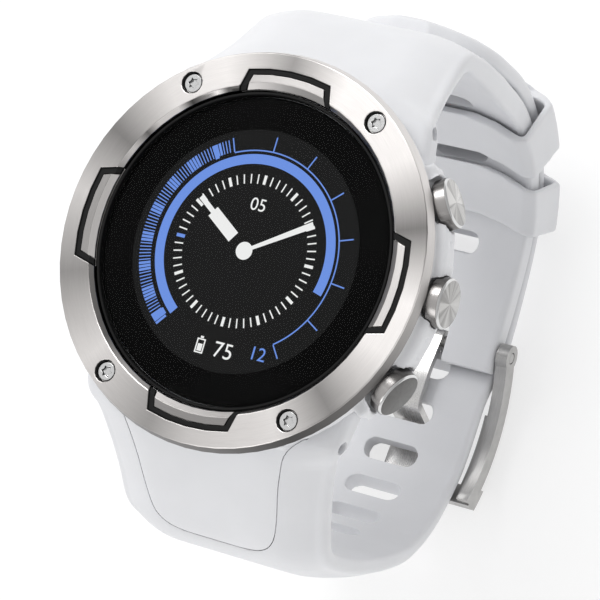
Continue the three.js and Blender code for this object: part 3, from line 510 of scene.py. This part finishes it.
def lathe(name, profile, material, segments=192, close=True):
    """A ring or disc turned about Z from [radius, height] in millimetres."""
    count = len(profile)
    vertices = [(r * math.cos(a) * MM, r * math.sin(a) * MM, z * MM)
                for a in (2 * math.pi * i / segments for i in range(segments)) for r, z in profile]
    faces = []
    for i in range(segments):
        j = (i + 1) % segments
        for k in range(count if close else count - 1):
            m = (k + 1) % count
            faces.append((i * count + k, j * count + k, j * count + m, i * count + m))
    piece = new_object(name, vertices, faces, material)
    work = bmesh.new()
    work.from_mesh(piece.data)
    bmesh.ops.remove_doubles(work, verts=work.verts, dist=LATHE_WELD * MM)
    bmesh.ops.recalc_face_normals(work, faces=work.faces)
    work.to_mesh(piece.data)
    work.free()
    smooth_by_angle(piece, LATHE_EDGE)
    return piece


# ------------------------------------------------------------------ smooth strap surfaces
# A path is a table of rows: y, z, heading in degrees from +Y towards +Z, length so far, and rise,
# which is how far the strap's middle stands proud of the path. Lengths are in millimetres.
STEP = 0.9  # longest piece of a path
LUG = (14.2, TOP / MM - 3.5)  # where a strap leaves the case, as y and z
LAYER = 0.25 + 2.4  # the gap between the short strap and the tail over it, and the tail's thickness
TAIL_HEADING = -91.29  # the tail lies over the short strap where its heading has turned past this
TAIL_Y = 1.4  # and where it is further towards 12 o'clock than this
RISE = [(24, 0), (40, 1.5), (47, 1.8), (64, 1.8), (80, 0)]  # length along the short strap, rise
ARCH_HALF = 11.0  # half the width over which a strap is arched


def graded(table, s):
    """A value between the (length, value) rows of a table."""
    return np.interp(s, *zip(*table))


def arch(x):
    """How much of the rise a strap has at a distance from its middle line, from 1 to 0."""
    return np.maximum(0, 1 - (x / ARCH_HALF) ** 2)


def walk(start, heading, moves, rise=((0, 0),)):
    """The centre line of a strap's outer surface, from runs (length,) and arcs (radius, turn in degrees)."""
    rows = [(start[0], start[1], heading, 0.0)]
    for size, *turn in moves:
        bend = turn[0] if turn else 0.0
        length = size * abs(math.radians(bend)) if turn else size
        count = max(1, math.ceil(length / STEP))
        for _ in range(count):
            y, z, h, s = rows[-1]
            part = bend / count
            chord = 2 * size * math.sin(math.radians(abs(part)) / 2) if turn else length / count
            a = math.radians(h + part / 2)
            rows.append((y + chord * math.cos(a), z + chord * math.sin(a), h + part, s + length / count))
    rows = np.array(rows)
    return np.column_stack([rows, graded(rise, rows[:, 3])])


def offset(path, distance):
    """The path moved to the right of its heading."""
    moved = path.copy()
    h = np.radians(path[:, 2])
    moved[:, 0] += distance * np.sin(h)
    moved[:, 1] -= distance * np.cos(h)
    return moved


def bridge(a, b, count):
    """A smooth S between two rows."""
    pull = math.hypot(b[0] - a[0], b[1] - a[1]) / 2.4
    ends = [p[:2] for p in (a, b)]
    unit = [np.array((math.cos(math.radians(p[2])), math.sin(math.radians(p[2])))) for p in (a, b)]
    c = [ends[0], ends[0] + unit[0] * pull, ends[1] - unit[1] * pull, ends[1]]
    t = np.arange(1, count)[:, None] / count
    u = 1 - t
    p = u ** 3 * c[0] + 3 * u * u * t * c[1] + 3 * u * t * t * c[2] + t ** 3 * c[3]
    d = u * u * (c[1] - c[0]) + 2 * u * t * (c[2] - c[1]) + t * t * (c[3] - c[2])
    heading = np.degrees(np.arctan2(d[:, 1], d[:, 0]))
    return np.column_stack([p, heading, np.zeros((count - 1, 2))])


def measured(path):
    """The path with its lengths counted again from its start."""
    path = path.copy()
    path[1:, 3] = np.cumsum(np.hypot(*np.diff(path[:, :2], axis=0).T))
    path[0, 3] = 0.0
    return path


SHORT_MOVES = [
    (4.2,), (5.5, -45), (10.6,), (8, -45), (350, -1.3), (350, -2.3), (21.2, -76.4), (60, -9), (6.4,),
]
SHORT = walk(LUG, 0, SHORT_MOVES, RISE)
LONG_MOVES = [(4.2,), (5.5, 45), (12.4,), (9, 45), (92, 16), (20, 66), (60, 6)]
long_start = walk((-LUG[0], LUG[1]), 180, LONG_MOVES)
tail = offset(SHORT, -LAYER)
tail = tail[(tail[:, 2] < TAIL_HEADING) & (tail[:, 0] > TAIL_Y)][::-1].copy()
tail[:, 2] += 180
bridge_end = tail[0].copy()
bridge_end[2] = 0
LONG = measured(np.vstack([long_start, bridge(long_start[-1], bridge_end, 10), tail]))

LONG_LENGTH = LONG[-1, 3]
SHORT_LENGTH = SHORT[-1, 3]

# What both straps share near the case: half width, and how far the crown falls to the sides, by length along.
WIDTH = [(0, 17.6), (6, 16.6), (10, 15.5), (14, 14.7), (18, 14.1), (24, 13.7), (30, 13.2)]
CROWN = [(0, 0.4), (5, 0.9), (9, 1.9), (14, 1.9), (24, 1.7)]
TIP = 9.0  # length of the rounded tip
TIP_HALF = 2.6  # least half width of the tip


def long_section(s):
    """The long strap's half width, thickness and crown at a length along it."""
    body = graded(WIDTH + [(44, 11.9), (60, 10.5), (70, 10)], s)
    left = np.clip((s - (LONG_LENGTH - TIP)) / TIP, 0, 1)
    half = np.maximum(TIP_HALF, body * np.sqrt(1 - left * left))
    thickness = graded([(0, 4), (16, 4.2), (30, 3.7), (60, 3.1), (72, 2.4)], s)
    crown = graded(CROWN + [(34, 1.4), (60, 0.8), (76, 0.3), (LONG_LENGTH, 0.2)], s)
    return half, thickness, crown


def short_section(s):
    """The short strap's half width, thickness and crown at a length along it."""
    half = graded(WIDTH + [(42, 11.6), (49, 10.7), (74, 10.4), (88, 10.1)], s)
    thickness = graded([(0, 4), (20, 3.7), (40, 3.4)], s)
    crown = graded(CROWN[:4] + [(30, 0.6), (40, 0.1), (90, 0.1)], s)
    return half, thickness, crown


FLAT = 0.58  # share of a strap's face that is flat, from its middle line
CROWN_POWER = 1.8  # how sharply the face turns down beyond that


def strap_surface(path, side, section):
    """A fine, smooth version of a strap without its cut-outs, as a search tree in metres."""
    rings = []
    for y, z, heading, s, rise in path:
        half, thickness, crown = section(s)
        crease = half - min(1.2, 0.5 + crown * 0.4)
        inside = max(thickness, crown + 1.3)
        steps = np.linspace(0, 1, 15)
        # From the middle line out over the outer face, round the edge, and back along the inner face.
        right = [(crease * u, crown * max(0.0, (u - FLAT) / (1 - FLAT)) ** CROWN_POWER) for u in steps]
        right += [(half - 0.25, crown + 0.3), (half, crown + 0.85), (half, max(thickness - 0.6, crown + 1)),
                  (half - 0.15, inside - 0.18), (half - 0.6, inside)]
        right += [(crease * u, inside) for u in steps[-2:0:-2]]
        outline = np.array(right + [(-x, d) for x, d in reversed(right)])
        depth = side * (outline[:, 1] - rise * arch(outline[:, 0]))
        a = math.radians(heading)
        rings.append(np.column_stack([outline[:, 0], y - depth * math.sin(a), z + depth * math.cos(a)]) * MM)
    size = len(rings[0])
    vertices = np.vstack(rings).tolist()
    faces = []
    for start in range(0, len(vertices) - size, size):
        for j in range(size):
            k = (j + 1) % size
            faces.append((start + j, start + k, start + size + k, start + size + j))
    faces += [tuple(range(size)), tuple(range(len(vertices) - size, len(vertices)))]
    return BVHTree.FromPolygons(vertices, faces)


LONG_SURFACE = strap_surface(LONG, 1, long_section)
SHORT_SURFACE = strap_surface(SHORT, -1, short_section)

# Right half of the case tongue's plan outline at 6 o'clock; the strap closes round it with a fine seam.
TONGUE = [
    (13, -18.7), (11.9, -19.7), (11.1, -20.6), (10.5, -21.7), (10.1, -22.9), (9.4, -25.2), (9, -27.6),
    (8.5, -29.8), (7.9, -31.1), (6.6, -32), (4.5, -32.4), (0, -32.4),
]
TONGUE_START = -18.9  # y from which the seam is worked
TONGUE_LOWEST = TOP / MM - 20
SEAM = 0.1  # width of the seam's line
SEAM_DEPTH = 0.55  # and how deep it is worked
SEAM_BEHIND = 0.9  # how far on the wrong side of the line a point is still drawn onto it
SEAM_BAND = (0.5, 1.1)  # how far off the line points are drawn onto it, on the tongue's flanks and at its tip
SEAM_BAND_AT = (0.72, 0.9)  # where the flanks end and where the tip starts, as shares of the tongue's length
KEPT_SHARP = (-1, 1.8)  # points between these distances across the line are hardly smoothed

BUTTON_RADIUS = 2.95
POCKET_START = 21.9  # distance out along the button's axis from which its pocket is worked
POCKET_BAND = (0.2, 1.2)  # distances off the button's side from which points are drawn in
POCKET_GAP = 0.1  # and where they end up
POCKET_DRAWN = 0.6  # points nearer than this all end up there
POCKET_STRETCH = 1.1 / 0.6  # the rest of the band is stretched to follow


def rounded_outline(corners, rounds):
    """A polyline with its corners cut a few times over, its two ends kept."""
    points = np.array(corners, float)
    for _ in range(rounds):
        steps = np.diff(points, axis=0)
        cut = np.stack([points[:-1] + steps / 4, points[:-1] + steps * 3 / 4], 1).reshape(-1, 2)
        points = np.vstack([points[:1], cut, points[-1:]])
    return points


def on_strap(points, path, side):
    """Where points lie on a strap, in millimetres: length along, height above its face, heading and row."""
    gap = points[:, None, 1:] - path[None, :, :2]
    row = np.argmin((gap ** 2).sum(2), axis=1)
    away, heading = gap[np.arange(len(points)), row], np.radians(path[row, 2])
    along = path[row, 3] + away[:, 0] * np.cos(heading) + away[:, 1] * np.sin(heading)
    above = side * (away[:, 0] * np.sin(heading) - away[:, 1] * np.cos(heading))
    return along, above - path[row, 4] * arch(points[:, 0]), heading, row


# The part of the long strap that runs away from the case, and the tongue's outline laid out flat on it.
FALLING = LONG[:np.argmin(LONG[:, 0])]
SEAM_LINE = rounded_outline([(x, -np.interp(-y, -FALLING[:, 0], FALLING[:, 3])) for x, y in TONGUE], 3)


TOUCHING = 1e-4  # millimetres: a point nearer to the line than this counts as on it


def seam_offset(flat):
    """Distances outside the tongue's outline on the unrolled strap, in millimetres, and the way out."""
    nearest = np.full(len(flat), 1e9)
    signed = np.zeros(len(flat))
    out = np.zeros((len(flat), 2))
    for start, end in zip(SEAM_LINE[:-1], SEAM_LINE[1:]):
        run = end - start
        away = flat - start
        away = away - np.clip(away @ run / (run @ run), 0, 1)[:, None] * run
        distance = np.hypot(away[:, 0], away[:, 1])
        normal = np.array((-run[1], run[0])) / np.hypot(*run)
        side = np.where(away @ normal >= 0, 1, -1)
        straight = side[:, None] * away / np.maximum(distance, TOUCHING)[:, None]
        exact = np.where(distance[:, None] > TOUCHING, straight, normal)
        closer = distance < nearest
        nearest[closer] = distance[closer]
        signed[closer] = (side * distance)[closer]
        out[closer] = exact[closer]
    return signed, out


def close_seam(points, case):
    """Draws the strap's notch up to the tongue, or the tongue onto its outline, near the outer face.

    It says which points lie along the seam.
    """
    near = (points[:, 1] < TONGUE_START * MM) & (points[:, 2] > TONGUE_LOWEST * MM)
    chosen = np.flatnonzero(near)
    mm = points[chosen] / MM
    along, height, heading, _ = on_strap(mm, LONG, 1)
    signed, out = seam_offset(np.column_stack([np.abs(mm[:, 0]), -along]))
    across = -signed if case else signed
    line = 0 if case else SEAM
    shallow = height > -SEAM_DEPTH
    wide = np.interp(along, -SEAM_LINE[-1, 1] * np.array(SEAM_BAND_AT), SEAM_BAND)
    rows = shallow & (across < 2 * wide) & (across > -SEAM_BEHIND)
    moved = line + np.maximum(0, across - wide) * (2 * wide - line) / wide
    move = np.where(rows, (moved - across) * (-1 if case else 1), 0)
    mm[:, 0] += np.sign(mm[:, 0]) * out[:, 0] * move
    mm[:, 1] -= out[:, 1] * move * np.cos(heading)
    mm[:, 2] -= out[:, 1] * move * np.sin(heading)
    points[chosen] = mm * MM
    return chosen[shallow & (across < KEPT_SHARP[1]) & (across > KEPT_SHARP[0])]


def close_pockets(points):
    """Draws the case up to the side of each push button, and says which points moved."""
    touched = []
    for name in ("button_upper", "button_middle", "button_lower"):
        low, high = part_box(name)
        middle = (Vector(low) + Vector(high)) / 2
        axis = np.array((middle.x, middle.y, 0)) / math.hypot(middle.x, middle.y)
        away = points - np.array((0, 0, middle.z))
        reach = away @ axis
        across = away - reach[:, None] * axis
        distance = np.linalg.norm(across, axis=1) / MM
        off = distance - BUTTON_RADIUS
        rows = (reach > POCKET_START * MM) & (off > POCKET_BAND[0]) & (off < POCKET_BAND[1])
        moved = BUTTON_RADIUS + POCKET_GAP + np.maximum(0, off - POCKET_DRAWN) * POCKET_STRETCH
        points[rows] += across[rows] * (moved / np.maximum(distance, 1) - 1)[rows, None]
        touched.append(np.flatnonzero(rows))
    return np.concatenate(touched)


def fitted_case(points):
    """Closes the case up to its buttons and its tongue up to the seam."""
    return np.concatenate([close_pockets(points), close_seam(points, True)])


RIB_PITCH = 0.95
RIB_DEPTH = 0.1
RIB_MARGIN = 1.6  # bare edge on either side of the ribs
RIB_SIDE_FADE = 0.4  # millimetres over which the ribs die out to the sides
RIB_END_FADE = 2  # and at their two ends
RIB_LOWEST = -2.2  # height on the strap's face under which nothing is raised
CHUNK = 20000  # points handled at a time, to keep the tables small


def ribbed(piece, path, side, section, start, stop):
    """Raises fine cross ribs on a strap's outer face, between two lengths along it."""
    points = positions(piece.data)
    halves = section(path[:, 3])[0]
    for first in range(0, len(points), CHUNK):
        chunk = points[first:first + CHUNK] / MM
        along, height, heading, row = on_strap(chunk, path, side)
        face = np.clip((halves[row] - RIB_MARGIN - np.abs(chunk[:, 0])) / RIB_SIDE_FADE, 0, 1)
        ends = np.clip((along - start) / RIB_END_FADE, 0, 1) * np.clip((stop - along) / RIB_END_FADE, 0, 1)
        wave = 0.5 + 0.5 * np.cos(2 * math.pi * along / RIB_PITCH)
        lift = RIB_DEPTH * wave * face * ends * np.clip((height - RIB_LOWEST) / 0.2, 0, 1)
        chunk[:, 1] += side * np.sin(heading) * lift
        chunk[:, 2] -= side * np.cos(heading) * lift
        points[first:first + CHUNK] = chunk * MM
    set_positions(piece.data, points)


def fitted_strap(points):
    """Closes the long strap's notch up to the seam."""
    return close_seam(points, False)


on_long = {"rounds": 3, "guides": [LONG_SURFACE]}
strap_long = soft("strap_long", M["silicone"], voxel_mm=0.22, seam=fitted_strap, **on_long)
strap_short = soft("strap_short", M["silicone"], voxel_mm=0.26, rounds=3, guides=[SHORT_SURFACE])
ribbed(strap_long, LONG, 1, long_section, start=30, stop=LONG_LENGTH - 3)
ribbed(strap_short, SHORT, -1, short_section, start=26, stop=SHORT_LENGTH - 6)
for keeper in ("keeper_free", "keeper_fixed"):
    soft(keeper, M["silicone"], voxel_mm=0.2, rounds=14)
soft("case_body", M["polyamide"], voxel_mm=0.2, reach_mm=0.3, seam=fitted_case, **on_long)

# ------------------------------------------------------------------ bezel, plates, screws
WALL_RADIUS = 22.95  # from here out the bezel is its flared wall
CHAMFER_RADIUS = 19.35  # and inside this, the polished chamfer round the glass
RECESS_RADIUS = 22.9  # inside this, what lies deeper than the next figure is a screw's recess, whose walls are painted near-black as painted shade
RECESS_DEPTH = 0.05
SOCKET_RADIUS = 0.8  # of the six-lobed hole in a screw's head

bezel = bevelled("bezel", M["bezel"], 0.14)
for extra in ("wall", "chamfer", "recess"):
    bezel.data.materials.append(M[extra])
for face in bezel.data.polygons:
    x, y, z = (c / MM for c in face.center)
    r = math.hypot(x, y)
    inward = (face.normal.x * x + face.normal.y * y) / max(r, 1)
    if r > WALL_RADIUS and face.normal.z < 0.5:
        face.material_index = 1
    elif r < CHAMFER_RADIUS and inward < -0.3:
        face.material_index = 2
    elif face.normal.z < 0.9 and z < TOP / MM - RECESS_DEPTH and r < RECESS_RADIUS:
        face.material_index = 3

for name in [n for n in NODES if n.startswith("insert_plate")]:
    bevelled(name, M["plate"], 0.06)
for name in [n for n in NODES if n.startswith("insert_seal")]:
    bevelled(name, M["seal"], 0.05)
for name in [n for n in NODES if n.startswith(("bezel_screw", "back_screw"))]:
    screw = bevelled(name, M["screw"], 0.08)
    screw.data.materials.append(M["socket"])
    low, high = (np.array(corner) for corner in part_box(name))
    for face in screw.data.polygons:
        centre = np.array(face.center)
        reach = np.hypot(*(centre - (low + high) / 2)[:2])
        if abs(face.normal.z) < 0.92 and reach < SOCKET_RADIUS * MM:
            face.material_index = 1

# ------------------------------------------------------------------ glass and display
# The glass is an open cap, so that light meets one surface of it and not the far side of a block.
glass_bottom, glass_top = (corner.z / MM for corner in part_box("glass"))
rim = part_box("glass")[1].x / MM
GLASS_EDGE = 0.32
GLASS_SKIRT = 0.5  # how far above the solid glass's underside the cap ends
PANEL_THICKNESS = 0.4
PANEL_INSET = 0.05
ACTIVE_RADIUS = 14.25
ACTIVE_LIFT = 0.01
ACTIVE_GAP = 0.001
INK_LIFT = 0.012
glass = lathe("look_glass", [(0, glass_top), (rim - GLASS_EDGE, glass_top), (rim, glass_top - GLASS_EDGE),
                             (rim, glass_bottom + GLASS_SKIRT)], M["glass"], close=False)
stand_for(glass, "glass")

panel_top = glass_bottom + PANEL_THICKNESS
panel_rim = rim - PANEL_INSET
panel = lathe("look_panel", [(0, panel_top), (panel_rim, panel_top), (panel_rim, glass_bottom),
                             (0, glass_bottom)], M["panel"])
active_top = panel_top + ACTIVE_LIFT
active_low = panel_top + ACTIVE_GAP
active = lathe("look_active", [(0, active_top), (ACTIVE_RADIUS, active_top), (ACTIVE_RADIUS, active_low),
                               (0, active_low)], M["active"])

GASKET_INNER = 18.2
GASKET_OUTER = 18.55
GASKET_EDGE = 0.08
gasket_low, gasket_high = (corner.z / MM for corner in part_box("glass_gasket"))
gasket = lathe("look_gasket", [
    (GASKET_INNER, gasket_low), (GASKET_OUTER, gasket_low), (GASKET_OUTER, gasket_high - GASKET_EDGE),
    (GASKET_OUTER - GASKET_EDGE, gasket_high), (GASKET_INNER + GASKET_EDGE, gasket_high),
    (GASKET_INNER, gasket_high - GASKET_EDGE),
], M["seal"])
stand_for(gasket, "glass_gasket")


def on_display(piece):
    """The piece is part of the display, and moves with the watch."""
    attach(piece, "watch")


on_display(panel)
on_display(active)

INK_Z = active_top + INK_LIFT


def clock_point(radius, clock):
    """A point of the display at a radius in millimetres and a clock angle in degrees."""
    a = math.radians(90 - clock)
    return (radius * math.cos(a) * MM, radius * math.sin(a) * MM, INK_Z * MM)


def band(inner, outer, start, stop, step=2.0):
    """A flat arc between two clock angles, as quads."""
    count = max(1, math.ceil(abs(stop - start) / step))
    angles = [start + (stop - start) * i / count for i in range(count + 1)]
    vertices = [clock_point(r, a) for a in angles for r in (inner, outer)]
    return vertices, [(2 * i, 2 * i + 1, 2 * i + 3, 2 * i + 2) for i in range(count)]


def bar(inner, outer, clock, width, outer_width=None):
    """A flat radial bar, optionally wider at its outer end."""
    a = math.radians(90 - clock)
    across = Vector((-math.sin(a), math.cos(a), 0)) * MM / 2
    near, far = Vector(clock_point(inner, clock)), Vector(clock_point(outer, clock))
    near_half, far_half = across * width, across * (outer_width or width)
    return [near - near_half, far - far_half, far + far_half, near + near_half], [(0, 1, 2, 3)]


def flat_box(x0, x1, y0, y1):
    """A flat rectangle on the display, in millimetres."""
    corners = ((x0, y0), (x1, y0), (x1, y1), (x0, y1))
    return [(x * MM, y * MM, INK_Z * MM) for x, y in corners], [(0, 1, 2, 3)]


def outline_box(x0, x1, y0, y1, line):
    """A rectangular frame of flat bars, in millimetres."""
    level = [flat_box(x0, x1, y0, y0 + line), flat_box(x0, x1, y1 - line, y1)]
    upright = [flat_box(x0, x0 + line, y0, y1), flat_box(x1 - line, x1, y0, y1)]
    return level + upright


def marks(name, shapes, material):
    """Flat shapes on the display, as one piece."""
    vertices, faces = [], []
    for points, quads in shapes:
        faces += [tuple(i + len(vertices) for i in quad) for quad in quads]
        vertices += points
    on_display(new_object(name, vertices, faces, material, smooth=False))


minute_ticks = [bar(7.9, 9.0, 6 * i, 0.36 if i % 5 == 0 else 0.16) for i in range(60) if i != 45]
hub = band(0, 1.05, 0, 360, 12)
hands = [hub, bar(0.6, 8.9, 58, 0.42, 0.78), bar(6.2, 8.85, 304, 0.62), bar(2.2, 6.4, 304, 1.5)]
marks("mark_time", minute_ticks + hands, M["ink_white"])
scale_ticks = [bar(11.85, 13.55, clock, 0.16) for clock in range(-24, 145, 24)]
# The day's activity: bars of two widths in an uneven row.
activity = []
for clock in np.arange(218, 334, 1.75):
    activity.append(bar(11.9, 13.4, clock, 0.13 if (clock * 7) % 11 < 7 else 0.3))
rings = [band(10.2, 11.35, -143, 105), band(11.7, 11.86, -24, 144), bar(7.9, 9.0, 270, 0.4)]
blocks = [band(11.7, 13.4, 219, 223), band(11.7, 13.4, 324, 326.5)]
marks("mark_scales", rings + blocks + scale_ticks + activity, M["ink_blue"])


def digits(text, x, y, size, material):
    """A number on the display, centred at x and y in millimetres."""
    curve = bpy.data.curves.new("digits_" + text, "FONT")
    curve.body = text
    curve.size = size * MM
    curve.align_x = "CENTER"
    curve.align_y = "CENTER"
    source = bpy.data.objects.new("digits_" + text, curve)
    bpy.context.scene.collection.objects.link(source)
    mesh = bpy.data.meshes.new_from_object(source.evaluated_get(bpy.context.evaluated_depsgraph_get()))
    bpy.data.objects.remove(source)
    piece = bpy.data.objects.new("digits_" + text, mesh)
    bpy.context.scene.collection.objects.link(piece)
    mesh.materials.clear()
    mesh.materials.append(material)
    mesh.transform(Matrix.Translation((x * MM, y * MM, INK_Z * MM)))
    on_display(piece)


digits("05", 0.1, 5.45, 2.1, M["ink_white"])
digits("75", 1.1, -11.75, 2.6, M["ink_white"])
digits("12", 5.4, -11.1, 2.2, M["ink_blue"])
battery_case = outline_box(-2.5, -1.4, -12.6, -10.9, 0.16)
battery_cap = outline_box(-2.15, -1.75, -10.85, -10.6, 0.12)
battery_level = outline_box(-2.25, -1.65, -12.35, -11.5, 0.4)
marks("mark_cell", battery_case + battery_cap + battery_level, M["ink_white"])

# ------------------------------------------------------------------ buttons
BUTTONS = {"upper": (27, "burst_a"), "middle": (0, "burst_b"), "lower": (-27, "burst_c")}  # degrees, face
BUTTON_SEAT = 22.9  # from the dial's centre to the back of a button's cap
BUTTON_PROFILE = [
    (0, 2.1), (2.6, 2.1), (2.72, 2.06), (2.93, 1.82), (BUTTON_RADIUS, 1.7), (BUTTON_RADIUS, 0.5), (2.5, 0),
    (0.7, 0), (0.7, -7.5), (0, -7.5),
]
FACE_HEIGHT = 2.08  # above this a button is its sunburst face
RIM_HEIGHT = 1.78  # and above this its bright rim

for which, (angle, face_material) in BUTTONS.items():
    node = "button_" + which
    a = math.radians(angle)
    height = (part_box(node)[0].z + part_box(node)[1].z) / 2 / MM
    piece = lathe("look_" + node, BUTTON_PROFILE, M["button_side"], segments=96, close=False)
    piece.data.materials.append(M[face_material])
    piece.data.materials.append(M["rim"])
    for face in piece.data.polygons:
        z = face.center.z / MM
        if z > FACE_HEIGHT and face.normal.z > 0.9:
            face.material_index = 1
        elif z > RIM_HEIGHT:
            face.material_index = 2
    outward = Vector((math.cos(a), math.sin(a), 0))
    sideways = Vector((-math.sin(a), math.cos(a), 0))
    turn = Matrix((sideways, Vector((0, 0, 1)), outward)).transposed().to_4x4()
    piece.matrix_world = Matrix.Translation((outward * BUTTON_SEAT + Vector((0, 0, height))) * MM) @ turn
    stand_for(piece, node)

# ------------------------------------------------------------------ buckle, pins and what stays as CAD
bevelled("buckle_frame", M["buckle"], 0.25)
bevelled("buckle_tang", M["tang"], 0.18)
FINE_EDGES = {
    "buckle_pin": "buckle", "lug_pin_6": "pin", "lug_pin_12": "pin", "case_back": "polyamide",
    "sensor_window": "gloss_black",
}
for name, material in FINE_EDGES.items():
    bevelled(name, M[material], 0.1)
CARRIED = {
    "back_gasket": "seal", "sensor_board": "board", "charge_contact": "gold", "display_module": "panel",
    "main_board": "board", "battery": "cell", "vibration_motor": "cell", "gps_antenna": "ceramic",
    "button_seal": "seal", "button_clip": "pin", "button_switch": "gloss_black",
}
for name, node in NODES.items():
    for prefix, material in CARRIED.items():
        if name.startswith(prefix):
            node.data.materials.clear()
            node.data.materials.append(M[material])
            smooth_by_angle(node, CAD_EDGE)

# ------------------------------------------------------------------ floor, light and camera
# The camera's place, aim, roll and lens were fitted to the bezel's outline in the photo.
CAMERA = Vector((155.2, -31.6, 309.6)) * MM
AIM = Vector((1.54, -2.56, -1.0)) * MM
ROLL = math.radians(-63.9)
LENS = 176.9
FLOOR_SIZE = 3.0
FLOOR_GREY = 0.42
FLOOR_GLOW = 0.6  # with this the floor comes out as white as the photo's background
WORLD_LEVEL = 0.62
WORLD_FADE = -0.2  # the surroundings get darker to the picture's right

floor_z = cad_box[0][2]
g = Graph("floor")
floor_material = g.surface({
    "Base Color": g.tinted(g.math("MULTIPLY_ADD", g.noise(g.place(), 0.004, 2.0), 0.02, FLOOR_GREY)),
    "Roughness": 0.9, "Emission Color": (1, 1, 1, 1), "Emission Strength": FLOOR_GLOW,
})
half = FLOOR_SIZE / 2
corners = [(-half, -half, floor_z), (half, -half, floor_z), (half, half, floor_z), (-half, half, floor_z)]
floor = new_object("floor", corners, [(0, 1, 2, 3)], floor_material, smooth=False)

forward = (AIM - CAMERA).normalized()
level_right = forward.cross(Vector((0, 0, 1))).normalized()
level_up = level_right.cross(forward)
right = math.cos(ROLL) * level_right + math.sin(ROLL) * level_up
up = -math.sin(ROLL) * level_right + math.cos(ROLL) * level_up
camera = bpy.data.objects.new("camera", bpy.data.cameras.new("camera"))
camera.data.lens = LENS
camera.data.sensor_width = 36
camera.matrix_world = Matrix.Translation(CAMERA) @ Matrix((right, up, -forward)).transposed().to_4x4()
bpy.context.scene.collection.objects.link(camera)
bpy.context.scene.camera = camera


def softbox(name, across, above, toward, size, power):
    """An area light placed from the picture's point of view, in metres, and aimed at the watch."""
    light = bpy.data.lights.new(name, "AREA")
    light.shape = "RECTANGLE"
    light.size, light.size_y = size
    light.energy = power
    piece = bpy.data.objects.new(name, light)
    place = AIM + right * across + up * above - forward * toward
    piece.location = place
    piece.rotation_euler = (AIM - place).to_track_quat("-Z", "Y").to_euler()
    bpy.context.scene.collection.objects.link(piece)


softbox("key", -0.3, 0.6, 0.4, (0.45, 0.4), 2.6)
softbox("low", -0.45, -0.5, 0.35, (0.4, 0.35), 0.8)
world = bpy.data.worlds.new("studio")
world.use_nodes = True
tree = world.node_tree
background = tree.nodes["Background"]
around = tree.nodes.new("ShaderNodeTexCoord")
toward = tree.nodes.new("ShaderNodeVectorMath")
toward.operation = "DOT_PRODUCT"
toward.inputs[1].default_value = right
fade = tree.nodes.new("ShaderNodeMath")
fade.operation = "MULTIPLY_ADD"
fade.inputs[1].default_value = WORLD_FADE
fade.inputs[2].default_value = WORLD_LEVEL
tree.links.new(around.outputs["Generated"], toward.inputs[0])
tree.links.new(toward.outputs["Value"], fade.inputs[0])
tree.links.new(fade.outputs[0], background.inputs["Strength"])
background.inputs["Color"].default_value = (1, 1, 1, 1)
bpy.context.scene.world = world
